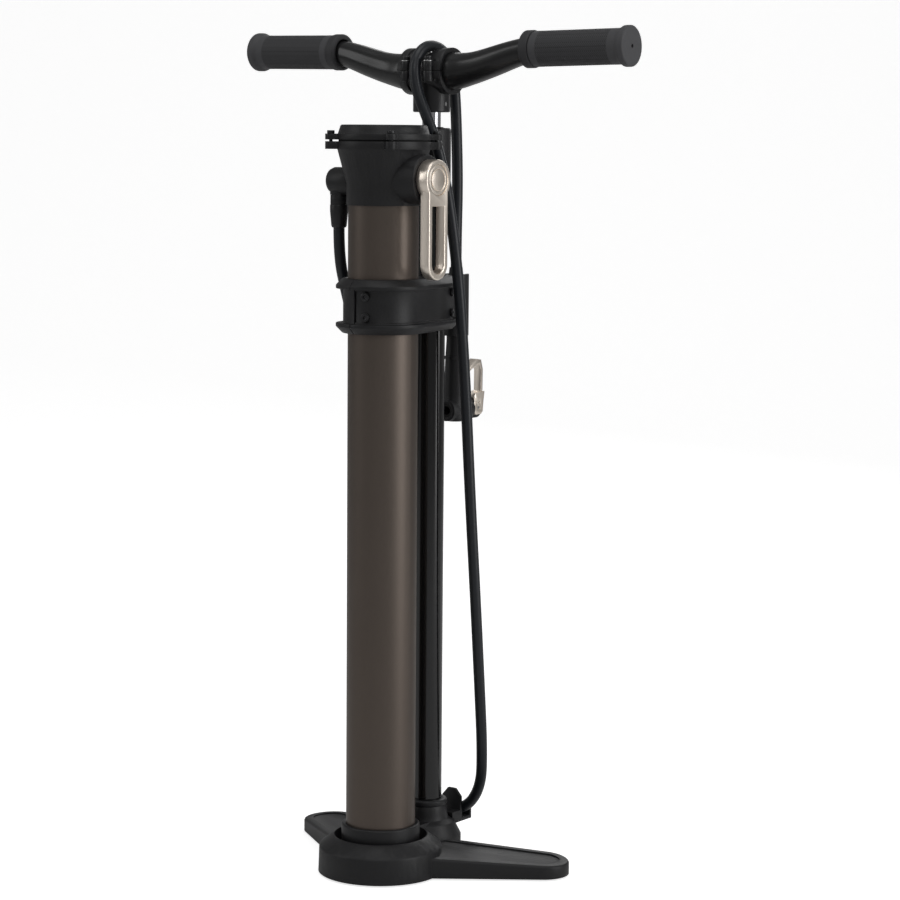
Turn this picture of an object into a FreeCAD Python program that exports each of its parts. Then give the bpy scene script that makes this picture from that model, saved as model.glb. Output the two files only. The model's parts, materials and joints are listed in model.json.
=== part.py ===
import FreeCAD, Part
import math
import os
import re
import Sketcher

# Floor bike pump with an air chamber, in millimetres.
# The origin is on the floor under the pump barrel. +X is the right grip, -Y the front, +Z up.
# The large chamber stands in front of the slim barrel, one axis_gap away.

SIZES = [
    # clearances
    ("snug_gap", 0.02, "radial clearance of a fixed pin or bolt"),
    ("run_gap", 0.05, "radial clearance of a running fit"),
    ("seat_gap", 0.1, "radial clearance of a seated fit"),
    ("body_gap", 0.4, "clearance between pieces that pass each other"),
    ("seam_gap", 0.4, "visible joint line between two mouldings"),
    # layout
    ("axis_gap", 67.5, "barrel axis to chamber axis"),
    ("handle_z", 692.0, "axis of the handlebar in its clamp"),
    ("valve_rise", 8.0, "axis of the lever valve above the chamber's top"),
    # base
    ("base_lift", 1.5, "underside of the base above the floor"),
    ("cup_draft", 0.7, "cup wider at the floor than at its shoulder"),
    ("cup_cone", 13.0, "width of the cup's sloping rim"),
    ("cup_shoulder_z", 24.0, "height of the cup's wall"),
    ("cup_groove", 6.3, "width of the groove between collar and cup"),
    ("cup_cone_rise", 9.5, "height of the cup's sloping rim"),
    ("cup_floor_rise", 4.0, "groove round the collar above the collar's seat"),
    ("collar_seat_z", 12.0, "underside of the chamber collar and the barrel plug"),
    ("socket_wall", 17.5, "barrel socket's foot outside the barrel"),
    ("socket_low_z", 20.0, "height of the socket's side"),
    ("socket_cone_wall", 11.5, "top of the socket's cone outside the barrel"),
    ("socket_cone_z", 31.5, "height of the socket's cone"),
    ("neck_wall", 6.0, "foot of the socket's collar outside the barrel"),
    ("neck_z", 34.5, "height where the barrel collar starts"),
    ("socket_top_z", 47.0, "top of the socket's collar"),
    ("socket_top_wall", 4.2, "top of the socket's collar outside the barrel"),
    ("wing_front_y", -102.5, "front edge of the wings, carried to the middle"),
    ("wing_rear_y", -15.6, "rear edge of the wings, carried to the middle"),
    ("wing_tip_x", 118.5, "centre of the wing's round tip"),
    ("wing_tip_y", 9.5, "centre of the wing's round tip"),
    ("wing_tip_radius", 23.0, "round tip of a wing"),
    ("wing_root_z", 20.0, "height of a wing at its root"),
    ("wing_tip_z", 12.5, "height of a wing at its tip"),
    ("wing_slope_x", 34.0, "where a wing's top starts to fall"),
    ("wing_round", 2.6, "rounding of a wing's top edge"),
    ("dish_inset", 8.0, "rim round the dished top of a wing"),
    ("dish_depth", 1.2, "depth of the dished top of a wing"),
    ("cup_round", 1.4, "rounding of the cup's shoulder and mouth"),
    # feet and screws under the base
    ("foot_height", 4.0, "thickness of a rubber foot"),
    ("foot_radius", 14.0, "round rubber foot"),
    ("foot_front_y", -100.0, "front foot"),
    ("base_screw_reach", 20.0, "base screws from the chamber axis"),
    ("base_screw_radius", 2.4, "shank of a base screw"),
    ("base_screw_head", 4.5, "head radius of a base screw"),
    ("base_screw_head_height", 3.0, "head height of a base screw"),
    ("base_screw_length", 20.0, "length of a base screw under its head"),
    ("air_radius", 2.5, "air passages"),
    ("air_z", 8.0, "air passage through the base"),
    # chamber
    ("chamber_radius", 30.0, "outside of the chamber tube"),
    ("chamber_wall", 1.8, "wall of the chamber tube"),
    ("collar_floor", 8.0, "floor of the chamber collar"),
    ("chamber_top_z", 592.0, "upper end of the chamber tube"),
    ("collar_wall", 4.0, "chamber collar's wall"),
    ("collar_hold", 24.0, "depth of the chamber tube in its collar"),
    ("spigot_reach", 20.0, "length of a spigot inside the chamber tube"),
    ("seal_section", 2.0, "section of the chamber's O-rings"),
    # barrel
    ("barrel_radius", 13.0, "outside of the barrel"),
    ("barrel_wall", 1.5, "wall of the barrel"),
    ("barrel_top_z", 628.0, "upper end of the barrel tube"),
    ("barrel_ring_wall", 5.0, "wall of the ring nut at the barrel's foot"),
    ("barrel_ring_height", 5.5, "height of the ring nut"),
    ("cap_wall", 4.0, "wall of the barrel cap"),
    ("cap_hold", 40.0, "barrel cap below the barrel's top"),
    ("cap_rise", 15.6, "barrel cap above the barrel's top"),
    ("cap_round", 2.2, "rounding of the cap's top edge"),
    ("plug_height", 18.0, "barrel foot plug"),
    ("ball_radius", 3.0, "check valve ball"),
    # rod and piston
    ("rod_radius", 8.0, "piston rod"),
    ("rod_wall", 1.5, "wall of the piston rod"),
    ("rod_foot_rise", 8.0, "lower end of the rod above the piston's underside"),
    ("piston_rest_gap", 8.0, "piston above the foot plug at rest"),
    ("piston_height", 26.0, "length of the piston"),
    ("bush_height", 22.0, "guide bush in the barrel cap"),
    ("wiper_height", 3.0, "wiper ring on top of the bush"),
    # stem and clamp
    ("stem_radius", 16.0, "stem"),
    ("stem_drop", 35.0, "underside of the stem below the handlebar's axis"),
    ("clamp_band_wall", 4.1, "wall of the clamp at its bands"),
    ("clamp_half", 22.5, "half length of the clamp"),
    ("clamp_band", 8.0, "raised band at each end of the clamp"),
    ("clamp_waist_wall", 2.5, "wall of the clamp between its bands"),
    ("stem_crown", 3.0, "stem between the rod's socket and the bar"),
    ("stem_pin_rise", 7.0, "cross pin above the stem's underside"),
    ("stem_pin_radius", 2.0, "cross pin through stem and rod"),
    ("hose_slot", 13.0, "gap between the two clamp caps"),
    ("ear_offset", 5.6, "clamp bolts outside the bar"),
    ("ear_radius", 4.6, "bolt boss of the clamp"),
    ("ear_height", 8.0, "height of a bolt boss above the split"),
    ("bolt_x", 11.6, "clamp bolts from the middle"),
    ("bolt_radius", 2.0, "shank of a clamp bolt"),
    ("bolt_head_radius", 3.5, "head of a clamp bolt"),
    ("washer_radius", 4.4, "washer under a clamp bolt"),
    ("washer_height", 0.8, "thickness of a washer"),
    # handlebar
    ("bar_radius", 15.9, "handlebar in the clamp"),
    ("bar_end_radius", 11.1, "handlebar under the grips"),
    ("bar_wall", 2.2, "wall of the handlebar"),
    ("bar_half", 196.0, "half length of the handlebar"),
    ("bar_rise", 19.0, "rise of the handlebar's ends"),
    ("bar_sweep", 6.0, "back sweep of the handlebar's ends"),
    ("grip_wall", 4.0, "grip outside the bar"),
    ("grip_flange_wall", 6.1, "grip's end flange outside the bar"),
    ("end_gap", 1.0, "bar's end to the grip's closed end"),
    ("grip_end_wall", 3.5, "closed end of a grip"),
    ("grip_start", 107.0, "inner end of a grip"),
    ("grip_hole", 1.6, "small hole in the grip's end"),
    ("ring_wall", 4.8, "lock ring outside the bar"),
    ("ring_length", 9.0, "length of a lock ring"),
    # head
    ("skirt_drop", 14.0, "head's skirt below the chamber's top"),
    ("skirt_wall", 1.5, "head's skirt outside the chamber"),
    ("skirt_rise", 4.0, "top of the skirt above the chamber's top"),
    ("funnel_inset", 0.9, "head under its flange, inside the flange"),
    ("funnel_rise", 33.0, "lower flange above the chamber's top"),
    ("flange_wall", 6.2, "flanges outside the gauge well"),
    ("flange_height", 6.5, "thickness of the lower flange"),
    ("gasket_height", 1.4, "gasket between the flanges"),
    ("cover_flange_height", 5.0, "thickness of the upper flange"),
    ("bezel_low_inset", 1.3, "bezel's foot inside the flange"),
    ("bezel_top_inset", 3.4, "bezel's top inside the flange"),
    ("bezel_rise", 14.0, "bezel's top above the lower flange"),
    ("window_inset", 2.5, "bezel's opening inside the gauge well"),
    ("well_radius", 34.0, "gauge well"),
    ("well_sink", 2.5, "gauge well's floor under the lower flange"),
    ("lug_offset", 4.8, "flange screws outside the flange"),
    ("lug_radius", 4.8, "lug round a flange screw"),
    ("lug_screw_radius", 1.5, "shank of a flange screw"),
    ("lug_head_radius", 3.2, "head of a flange screw"),
    ("lug_head_height", 2.8, "head height of a flange screw"),
    ("boss_radius", 21.0, "side boss of the valve"),
    ("boss_x", 46.5, "face of the side boss"),
    ("spool_radius", 8.0, "valve spool"),
    ("spool_start_x", 3.0, "inner end of the spool's bore"),
    # lever
    ("hub_radius", 17.0, "hub of the lever"),
    ("hub_gap", 0.5, "lever's hub off the boss"),
    ("hub_width", 11.0, "thickness of the hub"),
    ("arm_half", 13.6, "half width of the lever arm"),
    ("arm_width", 8.6, "thickness of the lever arm"),
    ("arm_reach", 70.0, "axis to the centre of the arm's round end"),
    ("slot_half", 8.2, "half width of the lever's slot"),
    ("slot_start", 22.0, "axis to the top of the slot"),
    ("disc_radius", 12.9, "cap disc in the hub"),
    ("disc_depth", 2.4, "recess of the cap disc"),
    # gauge
    ("case_inset", 0.6, "gauge case inside its well"),
    ("case_height", 13.0, "height of the gauge case"),
    ("dial_inset", 2.0, "gauge dial inside its well"),
    ("lens_height", 2.2, "thickness of the gauge lens"),
    ("needle_length", 25.0, "pivot to the needle's tip"),
    # outlet elbow
    ("elbow_radius", 11.6, "elbow"),
    ("elbow_shank_radius", 5.0, "elbow's shank in the head"),
    ("elbow_shank_start", 18.0, "end of the elbow's shank from the chamber axis"),
    ("elbow_end", 9.5, "elbow's rounded end past the outlet"),
    ("elbow_gap", 0.2, "elbow's body off the skirt"),
    ("elbow_rise", 6.0, "axis of the elbow above the chamber's top"),
    ("outlet_x", 48.0, "hose outlet left of the chamber axis"),
    ("neck_outlet_radius", 7.8, "elbow's downward neck"),
    ("swivel_drop", 8.0, "top of the swivel under the elbow's axis"),
    ("swivel_height", 12.0, "length of the swivel's visible neck"),
    ("ferrule_height", 20.0, "length of the ferrule"),
    # bracket
    ("bracket_low_z", 470.0, "underside of the bracket"),
    ("bracket_height", 46.3, "height of the bracket"),
    ("rib_wall", 10.2, "bracket's ribs outside the chamber"),
    ("rib_rear_wall", 12.0, "bracket's ribs outside the barrel"),
    ("shell_wall", 4.0, "bracket's wall round the chamber"),
    ("shell_rear_wall", 6.5, "bracket's wall round the barrel"),
    ("rib_bevel", 5.6, "sloping outside of a rib"),
    ("rib_height", 8.6, "height of a rib at the wall"),
    ("split_x", -4.5, "joint between the bracket's halves"),
    ("panel_depth", 1.4, "recess of the right panel"),
    ("panel_margin", 9.9, "ribs' outer faces to the panel"),
    ("clamp_screw_turn", 11.0, "front bracket screws, degrees right of the front"),
    ("side_screw_turn", 25.0, "rear bracket screws, degrees behind the barrel's right side"),
    ("clamp_screw_radius", 3.7, "head of a bracket screw"),
    ("clamp_screw_pitch", 17.5, "distance between the bracket screws"),
    # chuck and its holster
    ("chuck_y", 38.0, "chuck axis behind the barrel"),
    ("chuck_drop", 84.0, "lower end of the chuck under the bracket"),
    ("chuck_tail", 5.7, "chuck's tail above the bracket"),
    ("chuck_radius", 10.0, "chuck at its lower end"),
    ("chuck_neck_radius", 8.0, "chuck in the holster"),
    ("chuck_tail_radius", 6.4, "chuck's tail round the hose"),
    ("chuck_seam_drop", 27.0, "ring on the chuck under the bracket"),
    ("holster_drop", 8.0, "holster's lower end under the bracket"),
    ("holster_wall", 3.0, "wall of the holster"),
    ("holster_slot", 11.0, "slot at the holster's back"),
    ("pin_reach", 28.0, "lever's pin behind the chuck's axis"),
    ("pin_rise", 10.0, "lever's pin above the chuck's lower end"),
    ("tongue_radius", 9.0, "round end of the chuck's head"),
    ("tongue_half", 3.3, "half width of the chuck's tongue"),
    ("mouth_reach", 13.5, "chuck's mouth in front of the chuck's axis"),
    ("mouth_radius", 4.0, "bore that takes a tyre valve"),
    ("lever_half", 6.0, "half width of the chuck lever's fork"),
    ("lever_strip_half", 3.8, "half width of the chuck lever above its fork"),
    ("lever_foot", 13.8, "height of the chuck lever's fork above its pin"),
    ("pin_radius", 1.5, "pin of the chuck lever"),
    # hose
    ("hose_radius", 4.85, "outside of the hose"),
    ("guide_y", 28.8, "front wall of the hose guide"),
]

# Places that follow from the driving sizes.
PLACES = {
    "chamber_y": "-axis_gap",
    "valve_z": "chamber_top_z + valve_rise",
    "cup_floor_z": "collar_seat_z + cup_floor_rise",
    "chamber_foot_z": "collar_seat_z + collar_floor",
    "collar_radius": "chamber_radius + collar_wall",
    "collar_top_z": "chamber_foot_z + collar_hold",
    "cup_rim_radius": "collar_radius + cup_groove",
    "cup_shoulder_radius": "cup_rim_radius + cup_cone",
    "cup_radius": "cup_shoulder_radius + cup_draft",
    "cup_rim_z": "cup_shoulder_z + cup_cone_rise",
    "socket_radius": "barrel_radius + socket_wall",
    "socket_cone_radius": "barrel_radius + socket_cone_wall",
    "neck_radius": "barrel_radius + neck_wall",
    "socket_top_radius": "barrel_radius + socket_top_wall",
    "barrel_ring_radius": "barrel_radius + barrel_ring_wall",
    "barrel_ring_z": "socket_top_z + barrel_ring_height",
    "cap_radius": "barrel_radius + cap_wall",
    "cap_low_z": "barrel_top_z - cap_hold",
    "cap_top_z": "barrel_top_z + cap_rise",
    "rod_low_z": "piston_low_z + rod_foot_rise",
    "piston_low_z": "plug_top_z + piston_rest_gap",
    "stem_low_z": "handle_z - stem_drop",
    "clamp_radius": "bar_radius + clamp_band_wall",
    "clamp_waist_radius": "bar_radius + clamp_waist_wall",
    "ear_reach": "bar_radius + ear_offset",
    "grip_radius": "bar_end_radius + grip_wall",
    "grip_flange_radius": "bar_end_radius + grip_flange_wall",
    "ring_radius": "bar_end_radius + ring_wall",
    "head_low_z": "chamber_top_z - skirt_drop",
    "skirt_radius": "chamber_radius + skirt_wall",
    "skirt_top_z": "chamber_top_z + skirt_rise",
    "funnel_top_z": "chamber_top_z + funnel_rise",
    "flange_radius": "well_radius + flange_wall",
    "funnel_radius": "flange_radius - funnel_inset",
    "flange_top_z": "funnel_top_z + flange_height",
    "bezel_low_radius": "flange_radius - bezel_low_inset",
    "bezel_top_radius": "flange_radius - bezel_top_inset",
    "bezel_top_z": "flange_top_z + bezel_rise",
    "window_radius": "well_radius - window_inset",
    "well_floor_z": "funnel_top_z - well_sink",
    "lug_reach": "flange_radius + lug_offset",
    "hub_x": "boss_x + hub_gap",
    "case_radius": "well_radius - case_inset",
    "dial_radius": "well_radius - dial_inset",
    "elbow_start": "skirt_radius + elbow_gap",
    "elbow_z": "chamber_top_z + elbow_rise",
    "elbow_reach": "outlet_x + elbow_end",
    "swivel_top_z": "elbow_z - swivel_drop",
    "ferrule_top_z": "swivel_top_z - swivel_height",
    "ferrule_low_z": "ferrule_top_z - ferrule_height",
    "bracket_top_z": "bracket_low_z + bracket_height",
    "rib_radius": "chamber_radius + rib_wall",
    "rib_rear_radius": "barrel_radius + rib_rear_wall",
    "shell_radius": "chamber_radius + shell_wall",
    "shell_rear_radius": "barrel_radius + shell_rear_wall",
    "chuck_low_z": "bracket_low_z - chuck_drop",
    "chuck_top_z": "bracket_top_z + chuck_tail",
    "chuck_seam_z": "bracket_low_z - chuck_seam_drop",
    "holster_low_z": "bracket_low_z - holster_drop",
    "pin_y": "chuck_y + pin_reach",
    "pin_z": "chuck_low_z + pin_rise",
    "mouth_y": "chuck_y - mouth_reach",
    "chamber_bore": "chamber_radius - chamber_wall",
    "barrel_bore": "barrel_radius - barrel_wall",
    "cover_low_z": "flange_top_z + gasket_height",
    "cover_flange_z": "cover_low_z + cover_flange_height",
    "lens_top_z": "bezel_top_z - 2",
    "case_low_z": "well_floor_z + seat_gap",
    "dial_z": "case_low_z + case_height",
    "needle_z": "dial_z + 2",
    "bracket_mid_z": "(bracket_low_z + bracket_top_z) / 2",
    "plug_top_z": "collar_seat_z + plug_height",
    "bush_low_z": "cap_top_z - wiper_height - bush_height",
    "split_z": "handle_z",
    "front_screw_reach": "shell_radius - panel_depth + 0.05",
    "side_screw_reach": "shell_rear_radius - panel_depth + 0.05",
}

DOC = FreeCAD.newDocument("floor_pump")
V = FreeCAD.Vector
NAMES = {alias for alias, value, meaning in SIZES}
VALUES = {}
UPRIGHT = FreeCAD.Rotation()
ALONG_X = FreeCAD.Rotation(V(0, 1, 0), 90)
ALONG_LEFT = FreeCAD.Rotation(V(0, 1, 0), -90)
ALONG_Y = FreeCAD.Rotation(V(1, 0, 0), -90)
WORD = re.compile(r"[a-z][a-z0-9_]*")


def make_sheet():
    """The driving dimensions, one cell each."""
    sheet = DOC.addObject("Spreadsheet::Sheet", "Sizes")
    for row, (alias, value, meaning) in enumerate(SIZES, start=1):
        sheet.set("A%d" % row, meaning)
        sheet.set("B%d" % row, str(value))
        sheet.setAlias("B%d" % row, alias)
    DOC.recompute()
    for alias in NAMES:
        VALUES[alias] = float(sheet.get(alias))


def ex(formula):
    """A formula in the sheet's names, as an expression."""
    def swap(found):
        word = found.group(0)
        if word in PLACES:
            return "(" + ex(PLACES[word]) + ")"
        if word in NAMES:
            return "Sizes." + word
        return word
    return WORD.sub(swap, str(formula))


def new_body(label):
    body = DOC.addObject("PartDesign::Body", label)
    body.Label = label
    return body


def new_sketch(body, role="XY_Plane", offset="0"):
    """A sketch on one of the body's origin planes, moved along the plane's normal."""
    sketch = body.newObject("Sketcher::SketchObject", body.Label + "_sketch")
    plane = [item for item in body.Origin.OriginFeatures if item.Role == role][0]
    sketch.AttachmentSupport = (plane, [""])
    sketch.MapMode = "FlatFace"
    sketch.setExpression("AttachmentOffset.Base.z", ex(offset))
    return sketch


def pin_point(sketch, curve, point, place):
    """Fixes one point of a curve to an x and a y formula."""
    for kind, formula in zip(("DistanceX", "DistanceY"), place):
        index = sketch.addConstraint(Sketcher.Constraint(kind, curve, point, 1.0))
        sketch.setExpression("Constraints[%d]" % index, ex(formula))


def size_round(sketch, curve, formula):
    """Sets the radius of a circle or an arc."""
    index = sketch.addConstraint(Sketcher.Constraint("Radius", curve, 5.0))
    sketch.setExpression("Constraints[%d]" % index, ex(formula))


def outline(sketch, corners):
    """A closed outline of straight lines."""
    count = len(corners)
    first = sketch.GeometryCount
    turn = 2 * math.pi / count
    start = [V(10 * math.cos(turn * k), 10 * math.sin(turn * k), 0) for k in range(count)]
    for k in range(count):
        sketch.addGeometry(Part.LineSegment(start[k], start[(k + 1) % count]), False)
    for k in range(count):
        after = first + (k + 1) % count
        sketch.addConstraint(Sketcher.Constraint("Coincident", first + k, 2, after, 1))
        pin_point(sketch, first + k, 1, corners[k])


def box(sketch, low_x, high_x, low_y, high_y):
    outline(sketch, [(low_x, low_y), (high_x, low_y), (high_x, high_y), (low_x, high_y)])


def circle(sketch, x, y, radius):
    curve = sketch.addGeometry(Part.Circle(V(0, 0, 0), V(0, 0, 1), 5.0), False)
    pin_point(sketch, curve, 3, (x, y))
    size_round(sketch, curve, radius)


def arc(centre, radius, start, end):
    """An arc by its angles in degrees, anticlockwise."""
    ring = Part.Circle(centre, V(0, 0, 1), radius)
    return Part.ArcOfCircle(ring, math.radians(start), math.radians(end))


def hull(sketch, chamber_side, barrel_side):
    """Two arcs, round the chamber and round the barrel, joined by tangent lines."""
    gap = VALUES["axis_gap"]
    wide, narrow, lean = 36.0, 20.0, 13.0
    cos, sin = math.cos(math.radians(lean)), math.sin(math.radians(lean))
    front, rear = V(0, -gap, 0), V(0, 0, 0)
    corners = [V(wide * cos, wide * sin - gap, 0), V(narrow * cos, narrow * sin, 0),
               V(-narrow * cos, narrow * sin, 0), V(-wide * cos, wide * sin - gap, 0)]
    front_arc = sketch.addGeometry(arc(front, wide, 180 - lean, 360 + lean), False)
    right = sketch.addGeometry(Part.LineSegment(corners[0], corners[1]), False)
    rear_arc = sketch.addGeometry(arc(rear, narrow, lean, 180 - lean), False)
    left = sketch.addGeometry(Part.LineSegment(corners[2], corners[3]), False)
    ring = [front_arc, right, rear_arc, left]
    for k in range(4):
        sketch.addConstraint(Sketcher.Constraint("Tangent", ring[k], 2, ring[(k + 1) % 4], 1))
    pin_point(sketch, front_arc, 3, ("0", "chamber_y"))
    pin_point(sketch, rear_arc, 3, ("0", "0"))
    size_round(sketch, front_arc, chamber_side)
    size_round(sketch, rear_arc, barrel_side)


def wing(sketch, inset):
    """The right wing: two straight edges from the middle, tangent to a round tip."""
    tip = V(VALUES["wing_tip_x"], VALUES["wing_tip_y"], 0)
    radius = VALUES["wing_tip_radius"] - VALUES[inset] if inset else VALUES["wing_tip_radius"]
    front = V(0, VALUES["wing_front_y"], 0)
    rear = V(0, VALUES["wing_rear_y"], 0)
    low, high = -56.0, 112.0
    lowest = tip + V(math.cos(math.radians(low)), math.sin(math.radians(low)), 0) * radius
    highest = tip + V(math.cos(math.radians(high)), math.sin(math.radians(high)), 0) * radius
    front_edge = sketch.addGeometry(Part.LineSegment(front, lowest), False)
    round_tip = sketch.addGeometry(arc(tip, radius, low, high), False)
    rear_edge = sketch.addGeometry(Part.LineSegment(highest, rear), False)
    middle = sketch.addGeometry(Part.LineSegment(rear, front), False)
    sketch.addConstraint(Sketcher.Constraint("Tangent", front_edge, 2, round_tip, 1))
    sketch.addConstraint(Sketcher.Constraint("Tangent", round_tip, 2, rear_edge, 1))
    sketch.addConstraint(Sketcher.Constraint("Coincident", rear_edge, 2, middle, 1))
    sketch.addConstraint(Sketcher.Constraint("Coincident", middle, 2, front_edge, 1))
    rim = inset if inset else "0"
    pin_point(sketch, front_edge, 1, ("0", "wing_front_y + 1.2 * " + rim))
    pin_point(sketch, middle, 1, ("0", "wing_rear_y - 1.1 * " + rim))
    pin_point(sketch, round_tip, 3, ("wing_tip_x", "wing_tip_y"))
    size_round(sketch, round_tip, "wing_tip_radius - " + rim)


def pad(body, sketch, length, both=False, reverse=False):
    feature = body.newObject("PartDesign::Pad", body.Label + "_pad")
    feature.Profile = sketch
    feature.setExpression("Length", ex(length))
    feature.SideType = "Symmetric" if both else "One side"
    feature.Reversed = reverse
    return feature


def pocket(body, sketch, length=None, both=False, reverse=False):
    """A cut of a given length, or right through both ways. It has to remove something."""
    DOC.recompute()
    before = body.Tip.Shape.Volume
    feature = body.newObject("PartDesign::Pocket", body.Label + "_pocket")
    feature.Profile = sketch
    if length is None:
        feature.Type = "ThroughAll"
        feature.SideType = "Symmetric"
    else:
        feature.setExpression("Length", ex(length))
        feature.SideType = "Symmetric" if both else "One side"
        feature.Reversed = reverse
    DOC.recompute()
    if feature.Shape.Volume >= before:
        raise ValueError(body.Label + ": a pocket cuts nothing")
    return feature


def turn(body, profile, role="XZ_Plane", offset="0", axis="V_Axis", cut=False):
    """Turns a profile of radius and height pairs about the sketch's own axis."""
    sketch = new_sketch(body, role, offset)
    outline(sketch, profile)
    kind = "PartDesign::Groove" if cut else "PartDesign::Revolution"
    if cut:
        DOC.recompute()
        before = body.Tip.Shape.Volume
    feature = body.newObject(kind, body.Label + "_turn")
    feature.Profile = sketch
    feature.ReferenceAxis = (sketch, [axis])
    feature.Angle = 360
    if cut:
        DOC.recompute()
        if feature.Shape.Volume >= before:
            raise ValueError(body.Label + ": a groove cuts nothing")
    return feature


def place(item, x="0", y="0", z="0", facing=UPRIGHT):
    """Puts a piece where formulas say."""
    item.Placement = FreeCAD.Placement(V(0, 0, 0), facing)
    for axis, formula in (("x", x), ("y", y), ("z", z)):
        item.setExpression("Placement.Base." + axis, ex(formula))
    return item


def turned(label, profile, x="0", y="0", z="0", facing=UPRIGHT):
    """A turned piece: a profile round its own axis, then set in place."""
    body = new_body(label)
    turn(body, profile)
    return place(body, x, y, z, facing)


def tube(inner, outer, low, high):
    """Profile of a plain ring or tube."""
    return [(inner, low), (outer, low), (outer, high), (inner, high)]


def repeat(body, feature, count):
    """Copies a feature round the body's own upright axis."""
    pattern = body.newObject("PartDesign::PolarPattern", body.Label + "_pattern")
    pattern.Originals = [feature]
    upright = [item for item in body.Origin.OriginFeatures if item.Role == "Z_Axis"][0]
    pattern.Axis = (upright, [""])
    pattern.Angle = 360
    pattern.Occurrences = count
    body.Tip = pattern
    return pattern


def soften(body, size, test, kind="Fillet"):
    """Rounds or bevels the edges that a test picks, given the edge and the whole shape's extent."""
    DOC.recompute()
    base = body.Tip
    extent = base.Shape.BoundBox
    edges = ["Edge%d" % (k + 1) for k, edge in enumerate(base.Shape.Edges) if test(edge, extent)]
    if not edges:
        raise ValueError(body.Label + ": no edge to soften")
    feature = body.newObject("PartDesign::" + kind, body.Label + "_soft")
    feature.Base = (base, edges)
    feature.setExpression("Radius" if kind == "Fillet" else "Size", ex(size))
    return feature


def near(value, target):
    return abs(value - target) < 0.01


def is_round(edge, radius, height=None):
    """A circle about an upright axis, of one radius and, if given, one height."""
    curve = edge.Curve
    if not isinstance(curve, Part.Circle) or not near(abs(curve.Axis.z), 1):
        return False
    return near(curve.Radius, radius) and (height is None or near(curve.Center.z, height))


def cylinder(name, radius, height, x="0", y="0", z="0", facing=UPRIGHT):
    item = DOC.addObject("Part::Cylinder", name)
    item.setExpression("Radius", ex(radius))
    item.setExpression("Height", ex(height))
    return place(item, x, y, z, facing)


def fuse(name, pieces):
    item = DOC.addObject("Part::MultiFuse", name)
    item.Shapes = pieces
    return item


def cut(name, base, tool):
    item = DOC.addObject("Part::Cut", name)
    item.Base = base
    item.Tool = tool
    return item


def group(label, pieces):
    """Separate solids that share one node."""
    item = DOC.addObject("Part::Compound", label)
    item.Label = label
    item.Links = pieces
    return item


def quarter_turns(reach):
    """The four diagonal places round the chamber axis, as formulas."""
    step = "%s * sqrt(0.5)" % reach
    return [("%s%s" % (a, step), "chamber_y %s %s" % (b, step)) for a in ("", "-") for b in "+-"]


# Base and feet.

def add_wings(body):
    """One wing with its sloping, dished top, then its mirror image."""
    sketch = new_sketch(body, offset="base_lift")
    wing(sketch, None)
    pad(body, sketch, "wing_root_z - base_lift")
    slope = new_sketch(body, "XZ_Plane")
    far = "wing_tip_x + wing_tip_radius + 2"
    outline(slope, [("wing_slope_x", "wing_root_z"), (far, "wing_tip_z"), (far, "wing_root_z + 5"),
                    ("wing_slope_x", "wing_root_z + 5")])
    pocket(body, slope)
    low = VALUES["base_lift"] + 1
    soften(body, "wing_round", lambda edge, extent: edge.BoundBox.ZMin > low and edge.BoundBox.XMax > 1
           and edge.BoundBox.ZLength < 12 and not near(edge.BoundBox.XLength, 0))
    add_dish(body)
    mirror = body.newObject("PartDesign::Mirrored", body.Label + "_mirror")
    mirror.TransformMode = "Whole shape"
    middle = [item for item in body.Origin.OriginFeatures if item.Role == "YZ_Plane"][0]
    mirror.MirrorPlane = (middle, [""])
    body.Tip = mirror


def add_dish(body):
    """A shallow panel sunk into the wing's slope."""
    sketch = new_sketch(body)
    wing(sketch, "dish_inset")
    run = "(wing_tip_x + wing_tip_radius + 2 - wing_slope_x)"
    sketch.AttachmentOffset = FreeCAD.Placement(V(0, 0, 0), FreeCAD.Rotation(V(0, 1, 0), 3))
    sketch.setExpression("AttachmentOffset.Rotation.Angle",
                         ex("atan((wing_root_z - wing_tip_z) / %s)" % run))
    lean = "(wing_root_z - wing_tip_z) / %s" % run
    sketch.setExpression("AttachmentOffset.Base.z", ex("wing_root_z + wing_slope_x * %s" % lean))
    pocket(body, sketch, "dish_depth")


def make_base():
    body = new_body("base")
    add_wings(body)
    turn(body, [("0", "base_lift"), ("cup_radius", "base_lift"),
                ("cup_shoulder_radius", "cup_shoulder_z - cup_round"),
                ("cup_shoulder_radius - 0.2 * cup_round", "cup_shoulder_z"),
                ("cup_shoulder_radius - cup_round", "cup_shoulder_z + cup_round"),
                ("cup_rim_radius + cup_round", "cup_rim_z - 0.3 * cup_round"),
                ("cup_rim_radius + 0.4 * cup_round", "cup_rim_z"), ("0", "cup_rim_z")], offset="axis_gap")
    turn(body, [("0", "base_lift"), ("socket_radius", "base_lift"),
                ("socket_radius", "socket_low_z"), ("socket_cone_radius", "socket_cone_z"),
                ("neck_radius", "neck_z"), ("socket_top_radius", "socket_top_z"),
                ("0", "socket_top_z")])
    saddle = new_sketch(body, offset="socket_low_z")
    box(saddle, "-14", "14", "chamber_y + cup_rim_radius - 2", "-10")
    pad(body, saddle, "cup_rim_z - socket_low_z + 1")
    well = "cup_rim_z + 10"
    turn(body, [("0", "collar_seat_z"), ("collar_radius + seat_gap", "collar_seat_z"),
                ("collar_radius + seat_gap", "cup_floor_z"), ("cup_rim_radius", "cup_floor_z"),
                ("cup_rim_radius", well), ("0", well)], offset="axis_gap", cut=True)
    bore = new_sketch(body, offset="collar_seat_z")
    circle(bore, "0", "0", "barrel_radius + seat_gap")
    pocket(body, bore, "socket_top_z", reverse=True)
    add_base_passages(body)
    add_foot_recesses(body)
    return body


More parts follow.
